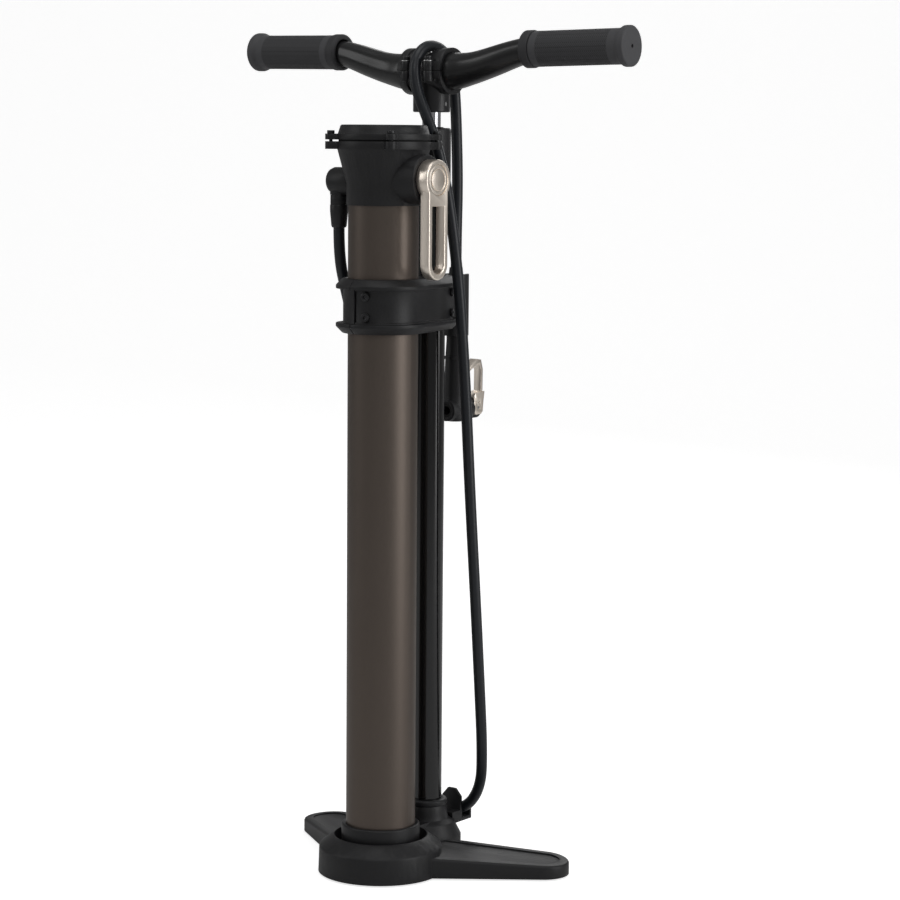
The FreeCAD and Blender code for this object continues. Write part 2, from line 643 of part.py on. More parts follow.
def add_base_passages(body):
    """Air runs from the barrel's foot along the base to the chamber's foot."""
    along = new_sketch(body, "XZ_Plane")
    circle(along, "0", "air_z", "air_radius")
    pocket(body, along, "axis_gap", reverse=True)
    rises = new_sketch(body, offset="air_z")
    circle(rises, "0", "0", "air_radius")
    circle(rises, "0", "chamber_y", "air_radius")
    pocket(body, rises, "collar_seat_z - air_z", reverse=True)
    holes = new_sketch(body, offset="base_lift")
    heads = new_sketch(body, offset="base_lift")
    for x, y in screw_places():
        circle(holes, x, y, "base_screw_radius + seat_gap")
        circle(heads, x, y, "base_screw_head + seat_gap")
    pocket(body, holes, "collar_seat_z + 1", reverse=True)
    pocket(body, heads, "base_screw_head_height + 1", reverse=True)


def screw_places():
    """Two screws each side of the air passage, from below into the chamber collar."""
    return quarter_turns("base_screw_reach")


def foot_places():
    """Centres of the rubber feet: both tips, the cup's front and the barrel."""
    return [("wing_tip_x", "wing_tip_y"), ("-wing_tip_x", "wing_tip_y"), ("0", "foot_front_y"),
            ("0", "0")]


def add_foot_recesses(body):
    recess = new_sketch(body, offset="base_lift")
    for x, y in foot_places():
        circle(recess, x, y, "foot_radius + seat_gap")
    pocket(body, recess, "foot_height - base_lift", reverse=True)


def make_feet():
    feet = [cylinder("foot", "foot_radius", "foot_height", x, y) for x, y in foot_places()]
    return group("foot_pads", feet)


def make_base_screws():
    screws = []
    for x, y in screw_places():
        head_top = "base_lift + 1 + base_screw_head_height"
        head = cylinder("screw_head", "base_screw_head", "base_screw_head_height", x, y, "base_lift + 1")
        shank = cylinder("screw_shank", "base_screw_radius", "base_screw_length", x, y, head_top)
        screws.append(fuse("base_screw", [head, shank]))
    return group("base_screws", screws)


def make_hose_guide():
    """A hook behind the barrel socket: front wall, ledge and low rear lip."""
    body = new_body("hose_guide")
    side = new_sketch(body, "YZ_Plane", "6")
    wall = "guide_y + 2.8"
    lip = "guide_y + 2.8 + 2 * hose_radius + 2.4"
    outline(side, [("17", "37"), ("17", "26.6"), (lip + " + 2.4", "26.6"), (lip + " + 2.4", "36"),
                   (lip, "36"), (lip, "29.6"), (wall, "29.6"), (wall, "56"), ("guide_y", "56"),
                   ("guide_y", "37")])
    pad(body, side, "20", both=True)
    turn(body, [("0", "socket_low_z"), ("socket_radius + seat_gap", "socket_low_z"),
                ("socket_cone_radius + seat_gap", "socket_cone_z"),
                ("neck_radius + seat_gap", "neck_z + seat_gap"),
                ("socket_top_radius + seat_gap", "socket_top_z"), ("0", "socket_top_z")], cut=True)
    corners = new_sketch(body, "XZ_Plane", "-guide_y - 1.4")
    outline(corners, [("10", "56"), ("16.1", "49"), ("16.1", "57"), ("10", "57")])
    outline(corners, [("2", "56"), ("-4.1", "49"), ("-4.1", "57"), ("2", "57")])
    pocket(body, corners, "8", both=True)
    return body


# Chamber.

def make_chamber():
    turned("chamber_tube", tube("chamber_bore", "chamber_radius", "chamber_foot_z", "chamber_top_z"),
           y="chamber_y")
    top = "chamber_foot_z + spigot_reach"
    spigot = "chamber_bore - seat_gap"
    groove = spigot + " - seal_section + 0.1"
    collar = [("air_radius", "collar_seat_z"), ("collar_radius", "collar_seat_z"),
              ("collar_radius", "collar_top_z - 1"), ("collar_radius - 1", "collar_top_z"),
              ("chamber_radius + seat_gap", "collar_top_z"),
              ("chamber_radius + seat_gap", "chamber_foot_z"),
              (spigot, "chamber_foot_z"), (spigot, top + " - 8"), (groove, top + " - 8"),
              (groove, top + " - 5.5"), (spigot, top + " - 5.5"), (spigot, top + " - 1"),
              (spigot + " - 1", top), ("air_radius", top)]
    body = turned("chamber_collar", collar, y="chamber_y")
    holes = new_sketch(body, offset="collar_seat_z")
    circle(holes, "base_screw_reach * sqrt(0.5)", "base_screw_reach * sqrt(0.5)",
           "base_screw_radius + snug_gap")
    hole = pocket(body, holes, "base_screw_length - 6", reverse=True)
    repeat(body, hole, 4)
    make_seal("chamber_foot_seal", "chamber_bore - seal_section / 2 - 0.02", top + " - 6.75")
    make_seal("chamber_top_seal", "chamber_bore - seal_section / 2 - 0.02", "chamber_top_z - 12.25")


def make_seal(label, radius, z):
    ring = DOC.addObject("Part::Torus", label)
    ring.Label = label
    ring.setExpression("Radius1", ex(radius))
    ring.setExpression("Radius2", ex("seal_section / 2 - 0.04"))
    return place(ring, y="chamber_y", z=z)


# Barrel, check valve and rod.

def make_barrel():
    turned("barrel_tube", tube("barrel_bore", "barrel_radius", "collar_seat_z", "barrel_top_z"))
    ring = [("barrel_radius + seat_gap", "socket_top_z"), ("barrel_ring_radius - 0.8", "socket_top_z"),
            ("barrel_ring_radius", "socket_top_z + 0.8"), ("barrel_ring_radius", "barrel_ring_z - 1.2"),
            ("barrel_ring_radius - 1.2", "barrel_ring_z"), ("barrel_radius + seat_gap", "barrel_ring_z")]
    turned("barrel_collar", ring)
    body = new_body("barrel_cap")
    guide = "barrel_bore"
    turn(body, [("barrel_radius + seat_gap", "cap_low_z"), ("cap_radius - 0.6", "cap_low_z"),
                ("cap_radius", "cap_low_z + 0.6"), ("cap_radius", "cap_top_z"), (guide, "cap_top_z"),
                (guide, "barrel_top_z"), ("barrel_radius + seat_gap", "barrel_top_z")])
    soften(body, "cap_round", lambda edge, extent: is_round(edge, extent.XMax, extent.ZMax))


def make_check_valve():
    """The foot plug seals the barrel; its ball lets air pass down into the base only."""
    seat = "ball_radius - 0.9"
    cage = "ball_radius + 0.5"
    low = "collar_seat_z"
    ball_top = "plug_top_z - 6"
    body = new_body("barrel_plug")
    turn(body, [("air_radius - 0.8", low), ("barrel_bore - seat_gap", low),
                ("barrel_bore - seat_gap", "plug_top_z"),
                (seat, "plug_top_z"), (seat, ball_top + " + 1"), (cage, ball_top + " - 0.2"),
                (cage, low + " + 2"), ("air_radius - 0.8", low + " + 2")])
    ball = DOC.addObject("Part::Sphere", "check_ball")
    ball.Label = "check_ball"
    ball.setExpression("Radius", ex("ball_radius"))
    place(ball, z=ball_top + " - ball_radius + 0.2")
    spring_low = low + " + 2.1"
    spring_high = ball_top + " - 2 * ball_radius + 0.1"
    turned("check_spring", tube("ball_radius - 1.1", "ball_radius - 0.3", spring_low, spring_high))


def make_rod():
    high = "handle_z - bar_radius - stem_crown - 0.2"
    rod = turned("piston_rod", tube("rod_radius - rod_wall", "rod_radius", "rod_low_z", high))
    cross = new_sketch(rod, "YZ_Plane")
    circle(cross, "0", "stem_low_z + stem_pin_rise", "stem_pin_radius + run_gap")
    pocket(rod, cross)
    skirt = "barrel_bore - run_gap"
    land = "piston_low_z + 12"
    top = "piston_low_z + piston_height"
    turned("piston", [("rod_radius - rod_wall - seat_gap", "piston_low_z + 4"),
                      ("rod_radius - rod_wall - seat_gap", "rod_low_z"),
                      ("rod_radius + seat_gap", "rod_low_z"), ("rod_radius + seat_gap", top),
                      (skirt + " - 2", top),
                      (skirt, top + " - 2"), (skirt, land + " + 3"), ("barrel_bore - 2", land + " + 3"),
                      ("barrel_bore - 2", land), (skirt, land), (skirt, "piston_low_z + 4")])
    ring = DOC.addObject("Part::Torus", "piston_seal")
    ring.Label = "piston_seal"
    ring.setExpression("Radius1", ex("barrel_bore - 1 - run_gap"))
    ring.setExpression("Radius2", ex("1 - 0.03"))
    place(ring, z=land + " + 1.5")
    turned("piston_nut", [("0", "piston_low_z"), ("rod_radius", "piston_low_z"),
                          ("rod_radius", "piston_low_z + 4"),
                          ("rod_radius - rod_wall - 0.3", "piston_low_z + 4"),
                          ("rod_radius - rod_wall - 0.3", "rod_low_z + 10"),
                          ("0", "rod_low_z + 10")])
    bush_top = "cap_top_z - wiper_height"
    turned("rod_bush", tube("rod_radius + run_gap", "barrel_bore - seat_gap", "bush_low_z + 0.1",
                            bush_top))
    turned("rod_wiper", [("rod_radius + run_gap", bush_top), ("barrel_bore - seat_gap", bush_top),
                         ("barrel_bore - seat_gap", "cap_top_z"), ("rod_radius + 1.6", "cap_top_z + 0.8"),
                         ("rod_radius + run_gap", "cap_top_z + 0.8")])


# Stem, clamp and handlebar.

def make_stem():
    body = new_body("stem")
    bands = new_sketch(body, "YZ_Plane")
    circle(bands, "0", "handle_z", "clamp_radius")
    pad(body, bands, "2 * clamp_half", both=True)
    trim_waist(body)
    post = new_sketch(body, offset="stem_low_z")
    circle(post, "0", "0", "stem_radius")
    pad(body, post, "handle_z - stem_low_z - 6")
    add_ears(body, "split_z - ear_height - 1", "ear_height + 1")
    split = new_sketch(body, "YZ_Plane")
    box(split, "-clamp_radius - 12", "clamp_radius + 12", "split_z - seam_gap / 2",
        "split_z + clamp_radius + 2")
    pocket(body, split)
    bore_bar(body)
    socket = new_sketch(body, offset="stem_low_z")
    circle(socket, "0", "0", "rod_radius + snug_gap")
    pocket(body, socket, "handle_z - bar_radius - stem_crown - stem_low_z", reverse=True)
    drill_ears(body)
    cross = new_sketch(body, "YZ_Plane")
    circle(cross, "0", "stem_low_z + stem_pin_rise", "stem_pin_radius + snug_gap")
    pocket(body, cross)
    soften(body, "1.2", lambda edge, extent: is_round(edge, VALUES["stem_radius"], extent.ZMin))
    return body


def trim_waist(body):
    """The clamp is slimmer between its two end bands."""
    half = "clamp_half - clamp_band"
    sketch = new_sketch(body, "XZ_Plane")
    outline(sketch, [("-(%s)" % half, "handle_z + clamp_waist_radius"),
                     (half, "handle_z + clamp_waist_radius"),
                     ("%s + 1.2" % half, "handle_z + clamp_radius + 1"),
                     ("-(%s) - 1.2" % half, "handle_z + clamp_radius + 1")])
    DOC.recompute()
    before = body.Tip.Shape.Volume
    line = sketch.addGeometry(Part.LineSegment(V(-10, 0, 0), V(10, 0, 0)), True)
    pin_point(sketch, line, 1, ("-10", "handle_z"))
    pin_point(sketch, line, 2, ("10", "handle_z"))
    groove = body.newObject("PartDesign::Groove", body.Label + "_waist")
    groove.Profile = sketch
    groove.ReferenceAxis = (sketch, ["Axis0"])
    groove.Angle = 360
    DOC.recompute()
    if groove.Shape.Volume >= before:
        raise ValueError(body.Label + ": the waist cuts nothing")


def add_ears(body, low, height):
    """Bolt bosses in front of and behind the bar, joined to the clamp."""
    ears = new_sketch(body, offset=low)
    for side in ("-", ""):
        for x in ("-bolt_x", "bolt_x"):
            circle(ears, x, side + "ear_reach", "ear_radius")
    pad(body, ears, height)
    web = new_sketch(body, offset=low)
    for x in ("-bolt_x", "bolt_x"):
        box(web, x + " - ear_radius + 0.6", x + " + ear_radius - 0.6", "-ear_reach", "ear_reach")
    pad(body, web, height)


def bore_bar(body):
    bore = new_sketch(body, "YZ_Plane")
    circle(bore, "0", "handle_z", "bar_radius + snug_gap")
    pocket(body, bore)


def drill_ears(body):
    holes = new_sketch(body, offset="split_z - ear_height - 10")
    for side in ("-", ""):
        for x in ("-bolt_x", "bolt_x"):
            circle(holes, x, side + "ear_reach", "bolt_radius + snug_gap")
    pocket(body, holes, "2 * ear_height + 20", reverse=True)


def make_clamp_cap(label, sign):
    """The clamp's upper half on one side of the hose gap."""
    body = new_body(label)
    bands = new_sketch(body, "YZ_Plane")
    circle(bands, "0", "handle_z", "clamp_radius")
    pad(body, bands, "2 * clamp_half", both=True)
    trim_waist(body)
    add_ears(body, "split_z", "ear_height")
    lower = new_sketch(body, "YZ_Plane")
    box(lower, "-clamp_radius - 12", "clamp_radius + 12", "split_z - clamp_radius - 2",
        "split_z + seam_gap / 2")
    pocket(body, lower)
    bore_bar(body)
    drill_ears(body)
    gap = new_sketch(body)
    low, high = ("-hose_slot / 2", "clamp_half + 5") if sign < 0 else ("-clamp_half - 5", "hose_slot / 2")
    box(gap, low, high, "-60", "60")
    pocket(body, gap)
    return body


def make_clamp_bolts():
    bolts = []
    washers = []
    for side in ("-", ""):
        for x in ("-bolt_x", "bolt_x"):
            y = side + "ear_reach"
            top = "split_z + ear_height"
            washers.append(turned_washer(x, y, top))
            head = cylinder("bolt_head", "bolt_head_radius", "3.6", x, y, top + " + washer_height")
            shank = cylinder("bolt_shank", "bolt_radius", "2 * ear_height + washer_height", x, y,
                             "split_z - ear_height")
            socket = cylinder("bolt_socket", "1.5", "4", x, y, top + " + washer_height + 1.6")
            bolts.append(cut("clamp_bolt", fuse("bolt_blank", [head, shank]), socket))
    group("clamp_bolts", bolts)
    group("clamp_washers", washers)


def turned_washer(x, y, z):
    outer = cylinder("washer_disc", "washer_radius", "washer_height", x, y, z)
    inner = cylinder("washer_bore", "bolt_radius + snug_gap", "washer_height", x, y, z)
    return cut("washer", outer, inner)


# Where the bar's straight end starts: share of the grip's start, of the rise and of the sweep.
GRIP_ROOT = (1.02579, 0.93, 0.35)

# Stations of the right half of the bar, up to its straight end: share of the grip's start, of the
# rise, of the sweep and of the taper.
BAR_STATIONS = [
    (0.0, 0.0, 0.0, 0.0), (0.23813, 0.0, 0.0, 0.0), (0.28393, 0.012, 0.01, 0.12),
    (0.32972, 0.04, 0.02, 0.27), (0.38467, 0.09, 0.03, 0.42), (0.43963, 0.155, 0.04, 0.52),
    (0.5129, 0.26, 0.06, 0.6), (0.58617, 0.38, 0.08, 0.66), (0.65944, 0.51, 0.11, 0.71),
    (0.73271, 0.64, 0.15, 0.8), (0.80598, 0.77, 0.19, 0.9), (0.85727, 0.86, 0.22, 0.97),
    (0.89757, 0.912, 0.248, 1.0), (0.95252, 0.923, 0.291, 1.0),
    GRIP_ROOT + (1.0,),
]


def make_bar():
    """The handlebar is lofted through round sections and bored the same way."""
    outer = loft_bar("bar_outside", "0")
    inner = loft_bar("bar_inside", "bar_wall")
    bar = cut("handlebar", outer, inner)
    bar.Label = "handlebar"


def loft_bar(name, inset):
    sections = []
    end = "bar_half" if inset == "0" else "bar_half + 1"
    right = [("grip_start * %s" % along, up, back, thin) for along, up, back, thin in BAR_STATIONS]
    right.append((end, 1.0, 1.0, 1.0))
    left = [("-(%s)" % reach, up, back, thin) for reach, up, back, thin in reversed(right[1:])]
    for reach, up, back, thin in left + right:
        ring = DOC.addObject("Part::Circle", name + "_section")
        radius = "bar_radius - (bar_radius - bar_end_radius) * %s - %s" % (thin, inset)
        ring.setExpression("Radius", ex(radius))
        place(ring, reach, "bar_sweep * %s" % back, "handle_z + bar_rise * %s" % up, ALONG_X)
        sections.append(ring)
    item = DOC.addObject("Part::Loft", name)
    item.Sections = sections
    item.Solid = True
    item.Ruled = True
    return item


def grip_facing(sign):
    """The grips follow the bar's straight end, swept back and slightly raised."""
    along, up, back = GRIP_ROOT
    run = VALUES["bar_half"] - VALUES["grip_start"] * along
    sweep = VALUES["bar_sweep"] * (1 - back) / run
    rise = VALUES["bar_rise"] * (1 - up) / run
    return FreeCAD.Rotation(V(0, 0, 1), V(sign, sweep, rise))


def make_grip(side, sign):
    """A rubber grip with a flanged closed end, and the lock ring at its inner end."""
    mark = "" if sign > 0 else "-"
    length = "(bar_half - grip_start)"
    hold = "bar_end_radius + body_gap"
    along, up, back = GRIP_ROOT
    start = ("%s(grip_start * %s)" % (mark, along), "bar_sweep * %s" % back,
             "handle_z + bar_rise * %s" % up)
    offset = "(grip_start * %s)" % (1 - along)
    end = "(%s + %s + grip_end_wall)" % (offset, length)
    profile = [(hold, offset), ("grip_radius", offset), ("grip_radius", end + " - 9"),
               ("grip_flange_radius - 0.4", end + " - 5"), ("grip_flange_radius", end + " - 3.5"),
               ("grip_flange_radius", end + " - 1.2"), ("grip_flange_radius - 1.2", end),
               ("grip_hole", end),
               ("grip_hole", end + " - grip_end_wall + end_gap"),
               (hold, end + " - grip_end_wall + end_gap")]
    turned("grip_" + side, profile, *start, facing=grip_facing(sign))
    ring_low = "(%s - ring_length - 0.3)" % offset
    ring_high = "(%s - 0.3)" % offset
    ring = [(hold, ring_low), ("ring_radius - 1.4", ring_low), ("ring_radius", ring_low + " + 1.4"),
            ("ring_radius", ring_high + " - 0.8"), ("ring_radius - 0.8", ring_high), (hold, ring_high)]
    turned("grip_ring_" + side, ring, *start, facing=grip_facing(sign))


# Head, valve and lever.

def add_lugs(body, low, height):
    """Four screw lugs on the diagonals of a flange."""
    lugs = new_sketch(body, offset=low)
    circle(lugs, "lug_reach * sqrt(0.5)", "lug_reach * sqrt(0.5)", "lug_radius")
    lug = pad(body, lugs, height)
    webs = new_sketch(body, offset=low)
    inner, outer, half = "30", "lug_reach", "lug_radius"
    step = "* sqrt(0.5)"
    outline(webs, [("(%s + %s) %s" % (inner, half, step), "(%s - %s) %s" % (inner, half, step)),
                   ("(%s + %s) %s" % (outer, half, step), "(%s - %s) %s" % (outer, half, step)),
                   ("(%s - %s) %s" % (outer, half, step), "(%s + %s) %s" % (outer, half, step)),
                   ("(%s - %s) %s" % (inner, half, step), "(%s + %s) %s" % (inner, half, step))])
    web = pad(body, webs, height)
    pattern = repeat(body, lug, 4)
    pattern.Originals = [lug, web]


def drill_lugs(body, low, height, radius):
    holes = new_sketch(body, offset=low)
    circle(holes, "lug_reach * sqrt(0.5)", "lug_reach * sqrt(0.5)", radius)
    hole = pocket(body, holes, height, reverse=True)
    repeat(body, hole, 4)


def make_head():
    spigot = "chamber_bore - seat_gap"
    groove = spigot + " - seal_section + 0.1"
    foot = "chamber_top_z - spigot_reach"
    body = new_body("head_body")
    turn(body, [("0", foot), (spigot + " - 1", foot), (spigot, foot + " + 1"),
                (spigot, "chamber_top_z - 13.5"),
                (groove, "chamber_top_z - 13.5"), (groove, "chamber_top_z - 11"),
                (spigot, "chamber_top_z - 11"),
                (spigot, "chamber_top_z + 0.2"), ("chamber_radius + seat_gap", "chamber_top_z + 0.2"),
                ("chamber_radius + seat_gap", "head_low_z"), ("skirt_radius", "head_low_z"),
                ("skirt_radius", "skirt_top_z"), ("funnel_radius", "funnel_top_z"),
                ("flange_radius", "funnel_top_z"),
                ("flange_radius", "flange_top_z"), ("well_radius", "flange_top_z"),
                ("well_radius", "well_floor_z"),
                ("0", "well_floor_z")])
    boss = new_sketch(body, "YZ_Plane")
    circle(boss, "0", "valve_z", "boss_radius")
    pad(body, boss, "boss_x")
    slot_top = "chamber_top_z + 0.2"
    turn(body, [(spigot, "head_low_z - 1"), ("chamber_radius + seat_gap", "head_low_z - 1"),
                ("chamber_radius + seat_gap", slot_top), (spigot, slot_top),
                (spigot, "chamber_top_z - 11"),
                (groove, "chamber_top_z - 11"), (groove, "chamber_top_z - 13.5"),
                (spigot, "chamber_top_z - 13.5")],
         cut=True)
    add_lugs(body, "funnel_top_z", "flange_top_z - funnel_top_z")
    well = new_sketch(body, offset="well_floor_z")
    circle(well, "0", "0", "well_radius")
    pocket(body, well, "flange_top_z - well_floor_z + 1", reverse=True)
    drill_lugs(body, "funnel_top_z - 1", "flange_top_z - funnel_top_z + 3", "lug_screw_radius + snug_gap")
    add_head_passages(body)
    soften(body, "1.2", is_boss_rim)
    return place(body, y="chamber_y")


def is_boss_rim(edge, extent):
    curve = edge.Curve
    if not isinstance(curve, Part.Circle) or not near(abs(curve.Axis.x), 1):
        return False
    return near(curve.Radius, VALUES["boss_radius"]) and near(curve.Center.x, VALUES["boss_x"])


def add_head_passages(body):
    """Spool bore from the right, outlet bore from the left, and air passages down and up."""
    spool = new_sketch(body, "YZ_Plane", "spool_start_x")
    circle(spool, "0", "valve_z", "spool_radius + run_gap")
    pocket(body, spool, "boss_x", reverse=True)
    outlet = new_sketch(body, "YZ_Plane", "spool_start_x")
    circle(outlet, "0", "elbow_z", "air_radius")
    pocket(body, outlet, "spool_start_x + 60")
    thread = new_sketch(body, "YZ_Plane", "-elbow_shank_start")
    circle(thread, "0", "elbow_z", "elbow_shank_radius + snug_gap")
    pocket(body, thread, "boss_x")
    seat = new_sketch(body, "YZ_Plane", "-elbow_start")
    circle(seat, "0", "elbow_z", "elbow_radius + seat_gap")
    pocket(body, seat, "20")
    down = new_sketch(body, offset="valve_z")
    circle(down, "spool_start_x + 6", "0", "air_radius")
    pocket(body, down, "40")
    up = new_sketch(body, offset="valve_z")
    circle(up, "spool_start_x + 14", "0", "1.2")
    pocket(body, up, "30", reverse=True)


def make_valve():
    groove = "spool_radius - 1.5"
    start = "spool_start_x + 0.5"
    profile = [("1.5", start), ("spool_radius - 0.6", start), ("spool_radius", start + " + 0.6")]
    for place_along in ("12", "22", "32"):
        low = "%s + %s" % (start, place_along)
        profile += [("spool_radius", low), (groove, low), (groove, low + " + 2"),
                    ("spool_radius", low + " + 2")]
    profile += [("spool_radius", "hub_x"), ("1.5", "hub_x")]
    turned("valve_spool", profile, y="chamber_y", z="valve_z", facing=ALONG_X)
    seals = []
    for place_along in ("12", "22", "32"):
        ring = DOC.addObject("Part::Torus", "spool_seal")
        ring.setExpression("Radius1", ex("spool_radius - 0.75"))
        ring.setExpression("Radius2", ex("0.73"))
        place(ring, "%s + %s + 1" % (start, place_along), "chamber_y", "valve_z", ALONG_X)
        seals.append(ring)
    group("spool_seals", seals)


def make_lever():
    """Hub and slotted arm, hanging down at rest."""
    body = new_body("valve_lever")
    hub = new_sketch(body, "YZ_Plane", "hub_x")
    circle(hub, "0", "0", "hub_radius")
    pad(body, hub, "hub_width")
    bend = new_sketch(body, "YZ_Plane", "hub_x + hub_width - arm_width")
    box(bend, "-arm_half", "arm_half", "-arm_reach", "0")
    pad(body, bend, "arm_width")
    end = new_sketch(body, "YZ_Plane", "hub_x + hub_width - arm_width")
    circle(end, "0", "-arm_reach", "arm_half")
    pad(body, end, "arm_width")
    slot = new_sketch(body, "YZ_Plane")
    box(slot, "-slot_half", "slot_half", "-arm_reach", "-slot_start")
    pocket(body, slot)
    slot_end = new_sketch(body, "YZ_Plane")
    circle(slot_end, "0", "-arm_reach", "slot_half")
    pocket(body, slot_end)
    face = new_sketch(body, "YZ_Plane", "hub_x + hub_width - disc_depth")
    circle(face, "0", "0", "disc_radius + seat_gap")
    pocket(body, face, "disc_depth + 1", reverse=True)
    hole = new_sketch(body, "YZ_Plane")
    circle(hole, "0", "0", "2.02")
    pocket(body, hole)
    soften(body, "1.3", lambda edge, extent: near(edge.BoundBox.XMin,
                                                  extent.XMax) and not is_disc_edge(edge))
    place(body, y="chamber_y", z="valve_z")
    back, face = "hub_x + hub_width - disc_depth + 0.1", "hub_x + hub_width - 0.3"
    disc = [("0", back), ("disc_radius", back), ("disc_radius", face + " - 0.6"),
            ("disc_radius - 0.6", face),
            ("disc_radius - 3.2", face), ("disc_radius - 3.2", face + " - 0.7"),
            ("disc_radius - 4", face + " - 0.7"), ("disc_radius - 4", face), ("0", face)]
    turned("lever_cap", disc, y="chamber_y", z="valve_z", facing=ALONG_X)
    screw = [("0", "hub_x - 18"), ("1.45", "hub_x - 18"), ("1.45", "hub_x"), ("2", "hub_x"),
             ("2", "hub_x + hub_width - disc_depth - 3"), ("0", "hub_x + hub_width - disc_depth - 3")]
    turned("lever_screw", screw, y="chamber_y", z="valve_z", facing=ALONG_X)


def is_disc_edge(edge):
    return isinstance(edge.Curve, Part.Circle) and edge.Curve.Radius < VALUES["disc_radius"] + 0.5 \
        and edge.Curve.Radius > VALUES["slot_half"] + 1


# Gauge.

def make_gauge():
    body = new_body("gauge_cover")
    turn(body, [("well_radius", "cover_low_z"), ("flange_radius", "cover_low_z"),
                ("flange_radius", "cover_flange_z"),
                ("bezel_low_radius", "cover_flange_z"), ("bezel_top_radius", "bezel_top_z - 1"),
                ("bezel_top_radius - 1", "bezel_top_z"), ("window_radius", "bezel_top_z"),
                ("window_radius", "lens_top_z + 0.05"), ("well_radius", "lens_top_z + 0.05")])
    add_lugs(body, "cover_low_z", "cover_flange_height")
    well = new_sketch(body, offset="cover_low_z")
    circle(well, "0", "0", "well_radius")
    pocket(body, well, "lens_top_z + 0.05 - cover_low_z", reverse=True)
    drill_lugs(body, "cover_low_z - 1", "cover_flange_height + 3", "lug_screw_radius + snug_gap")
    place(body, y="chamber_y")
    turned("flange_gasket", tube("well_radius + 0.3", "bezel_low_radius - 0.6", "flange_top_z",
                                 "cover_low_z"),
           y="chamber_y")
    turned("gauge_lens", tube("0", "well_radius - 0.2", "lens_top_z - lens_height", "lens_top_z"),
           y="chamber_y")
    case = [("0", "case_low_z"), ("case_radius", "case_low_z"), ("case_radius", "dial_z"),
            ("case_radius - 1.2", "dial_z"), ("case_radius - 1.2", "case_low_z + 1.2"),
            ("0", "case_low_z + 1.2")]
    turned("gauge_case", case, y="chamber_y")
    turned("gauge_dial", tube("1.2", "dial_radius + 1.2", "dial_z", "dial_z + 0.8"), y="chamber_y")
    make_movement()
    make_needle()
    make_flange_screws()


def make_movement():
    """The curved pressure tube on its block, inside the case."""
    block = cylinder("movement_block", "8", "6", y="chamber_y", z="case_low_z + 1.2")
    bore = cylinder("movement_bore", "1.2", "12", y="chamber_y", z="case_low_z + 1.2")
    curve = DOC.addObject("Part::Torus", "pressure_tube")
    curve.setExpression("Radius1", ex("case_radius - 12"))
    curve.Radius2 = 2.2
    curve.Angle3 = 250
    place(curve, y="chamber_y", z="case_low_z + 5")
    foot = cylinder("tube_foot", "3", "case_radius - 12", y="chamber_y", z="case_low_z + 5",
                    facing=ALONG_X)
    body = fuse("movement_blank", [block, curve, foot])
    whole = cut("gauge_movement", body, bore)
    whole.Label = "gauge_movement"


def make_needle():
    body = new_body("gauge_needle")
    hub = new_sketch(body)
    circle(hub, "0", "0", "3")
    pad(body, hub, "1.2")
    hand = new_sketch(body)
    outline(hand, [("-needle_length", "0.35"), ("-needle_length", "-0.35"), ("8", "-1.3"), ("8", "1.3")])
    pad(body, hand, "0.8")
    spindle = new_sketch(body)
    circle(spindle, "0", "0", "1")
    pad(body, spindle, "8", reverse=True)
    turned_to = FreeCAD.Rotation(V(0, 0, 1), 45)
    place(body, y="chamber_y", z="needle_z", facing=turned_to)


def make_flange_screws():
    screws = []
    for x, y in quarter_turns("lug_reach"):
        head = cylinder("lug_head", "lug_head_radius", "lug_head_height", x, y, "cover_flange_z")
        shank = cylinder("lug_shank", "lug_screw_radius", "cover_flange_z - funnel_top_z", x, y,
                         "funnel_top_z")
        socket = cylinder("lug_socket", "1.3", "3", x, y, "cover_flange_z + 1.2")
        screws.append(cut("flange_screw", fuse("lug_blank", [head, shank]), socket))
    group("flange_screws", screws)


# Outlet.

def make_outlet():
    body = new_body("hose_elbow")
    end = "elbow_reach"
    shank = "elbow_shank_start + elbow_gap"
    turn(body, [("0", shank), ("elbow_shank_radius", shank), ("elbow_shank_radius", "elbow_start"),
                ("elbow_radius", "elbow_start"), ("elbow_radius", end + " - 6"),
                ("elbow_radius - 1.2", end + " - 3"), ("elbow_radius - 4", end + " - 0.8"),
                ("elbow_radius - 7", end), ("0", end)])
    place(body, y="chamber_y", z="elbow_z", facing=ALONG_LEFT)
    neck = new_sketch(body, "YZ_Plane")
    circle(neck, "0", "outlet_x", "neck_outlet_radius")
    pad(body, neck, "elbow_z - swivel_top_z + 4", reverse=True)
    ring = [("3", "ferrule_top_z"), ("neck_outlet_radius - 0.3", "ferrule_top_z"),
            ("neck_outlet_radius - 0.3", "swivel_top_z - 4.2"), ("3", "swivel_top_z - 4.2")]
    turned("elbow_swivel", ring, x="-outlet_x", y="chamber_y")
    low = "ferrule_low_z"
    ferrule = [("2.5", low), ("hose_radius + 1", low), ("hose_radius + 1.8", low + " + 1.5"),
               ("neck_outlet_radius", low + " + 14"), ("neck_outlet_radius", "ferrule_top_z - 0.6"),
               ("neck_outlet_radius - 0.6", "ferrule_top_z"), ("2.5", "ferrule_top_z")]
    turned("hose_ferrule", ferrule, x="-outlet_x", y="chamber_y")


# Bracket.

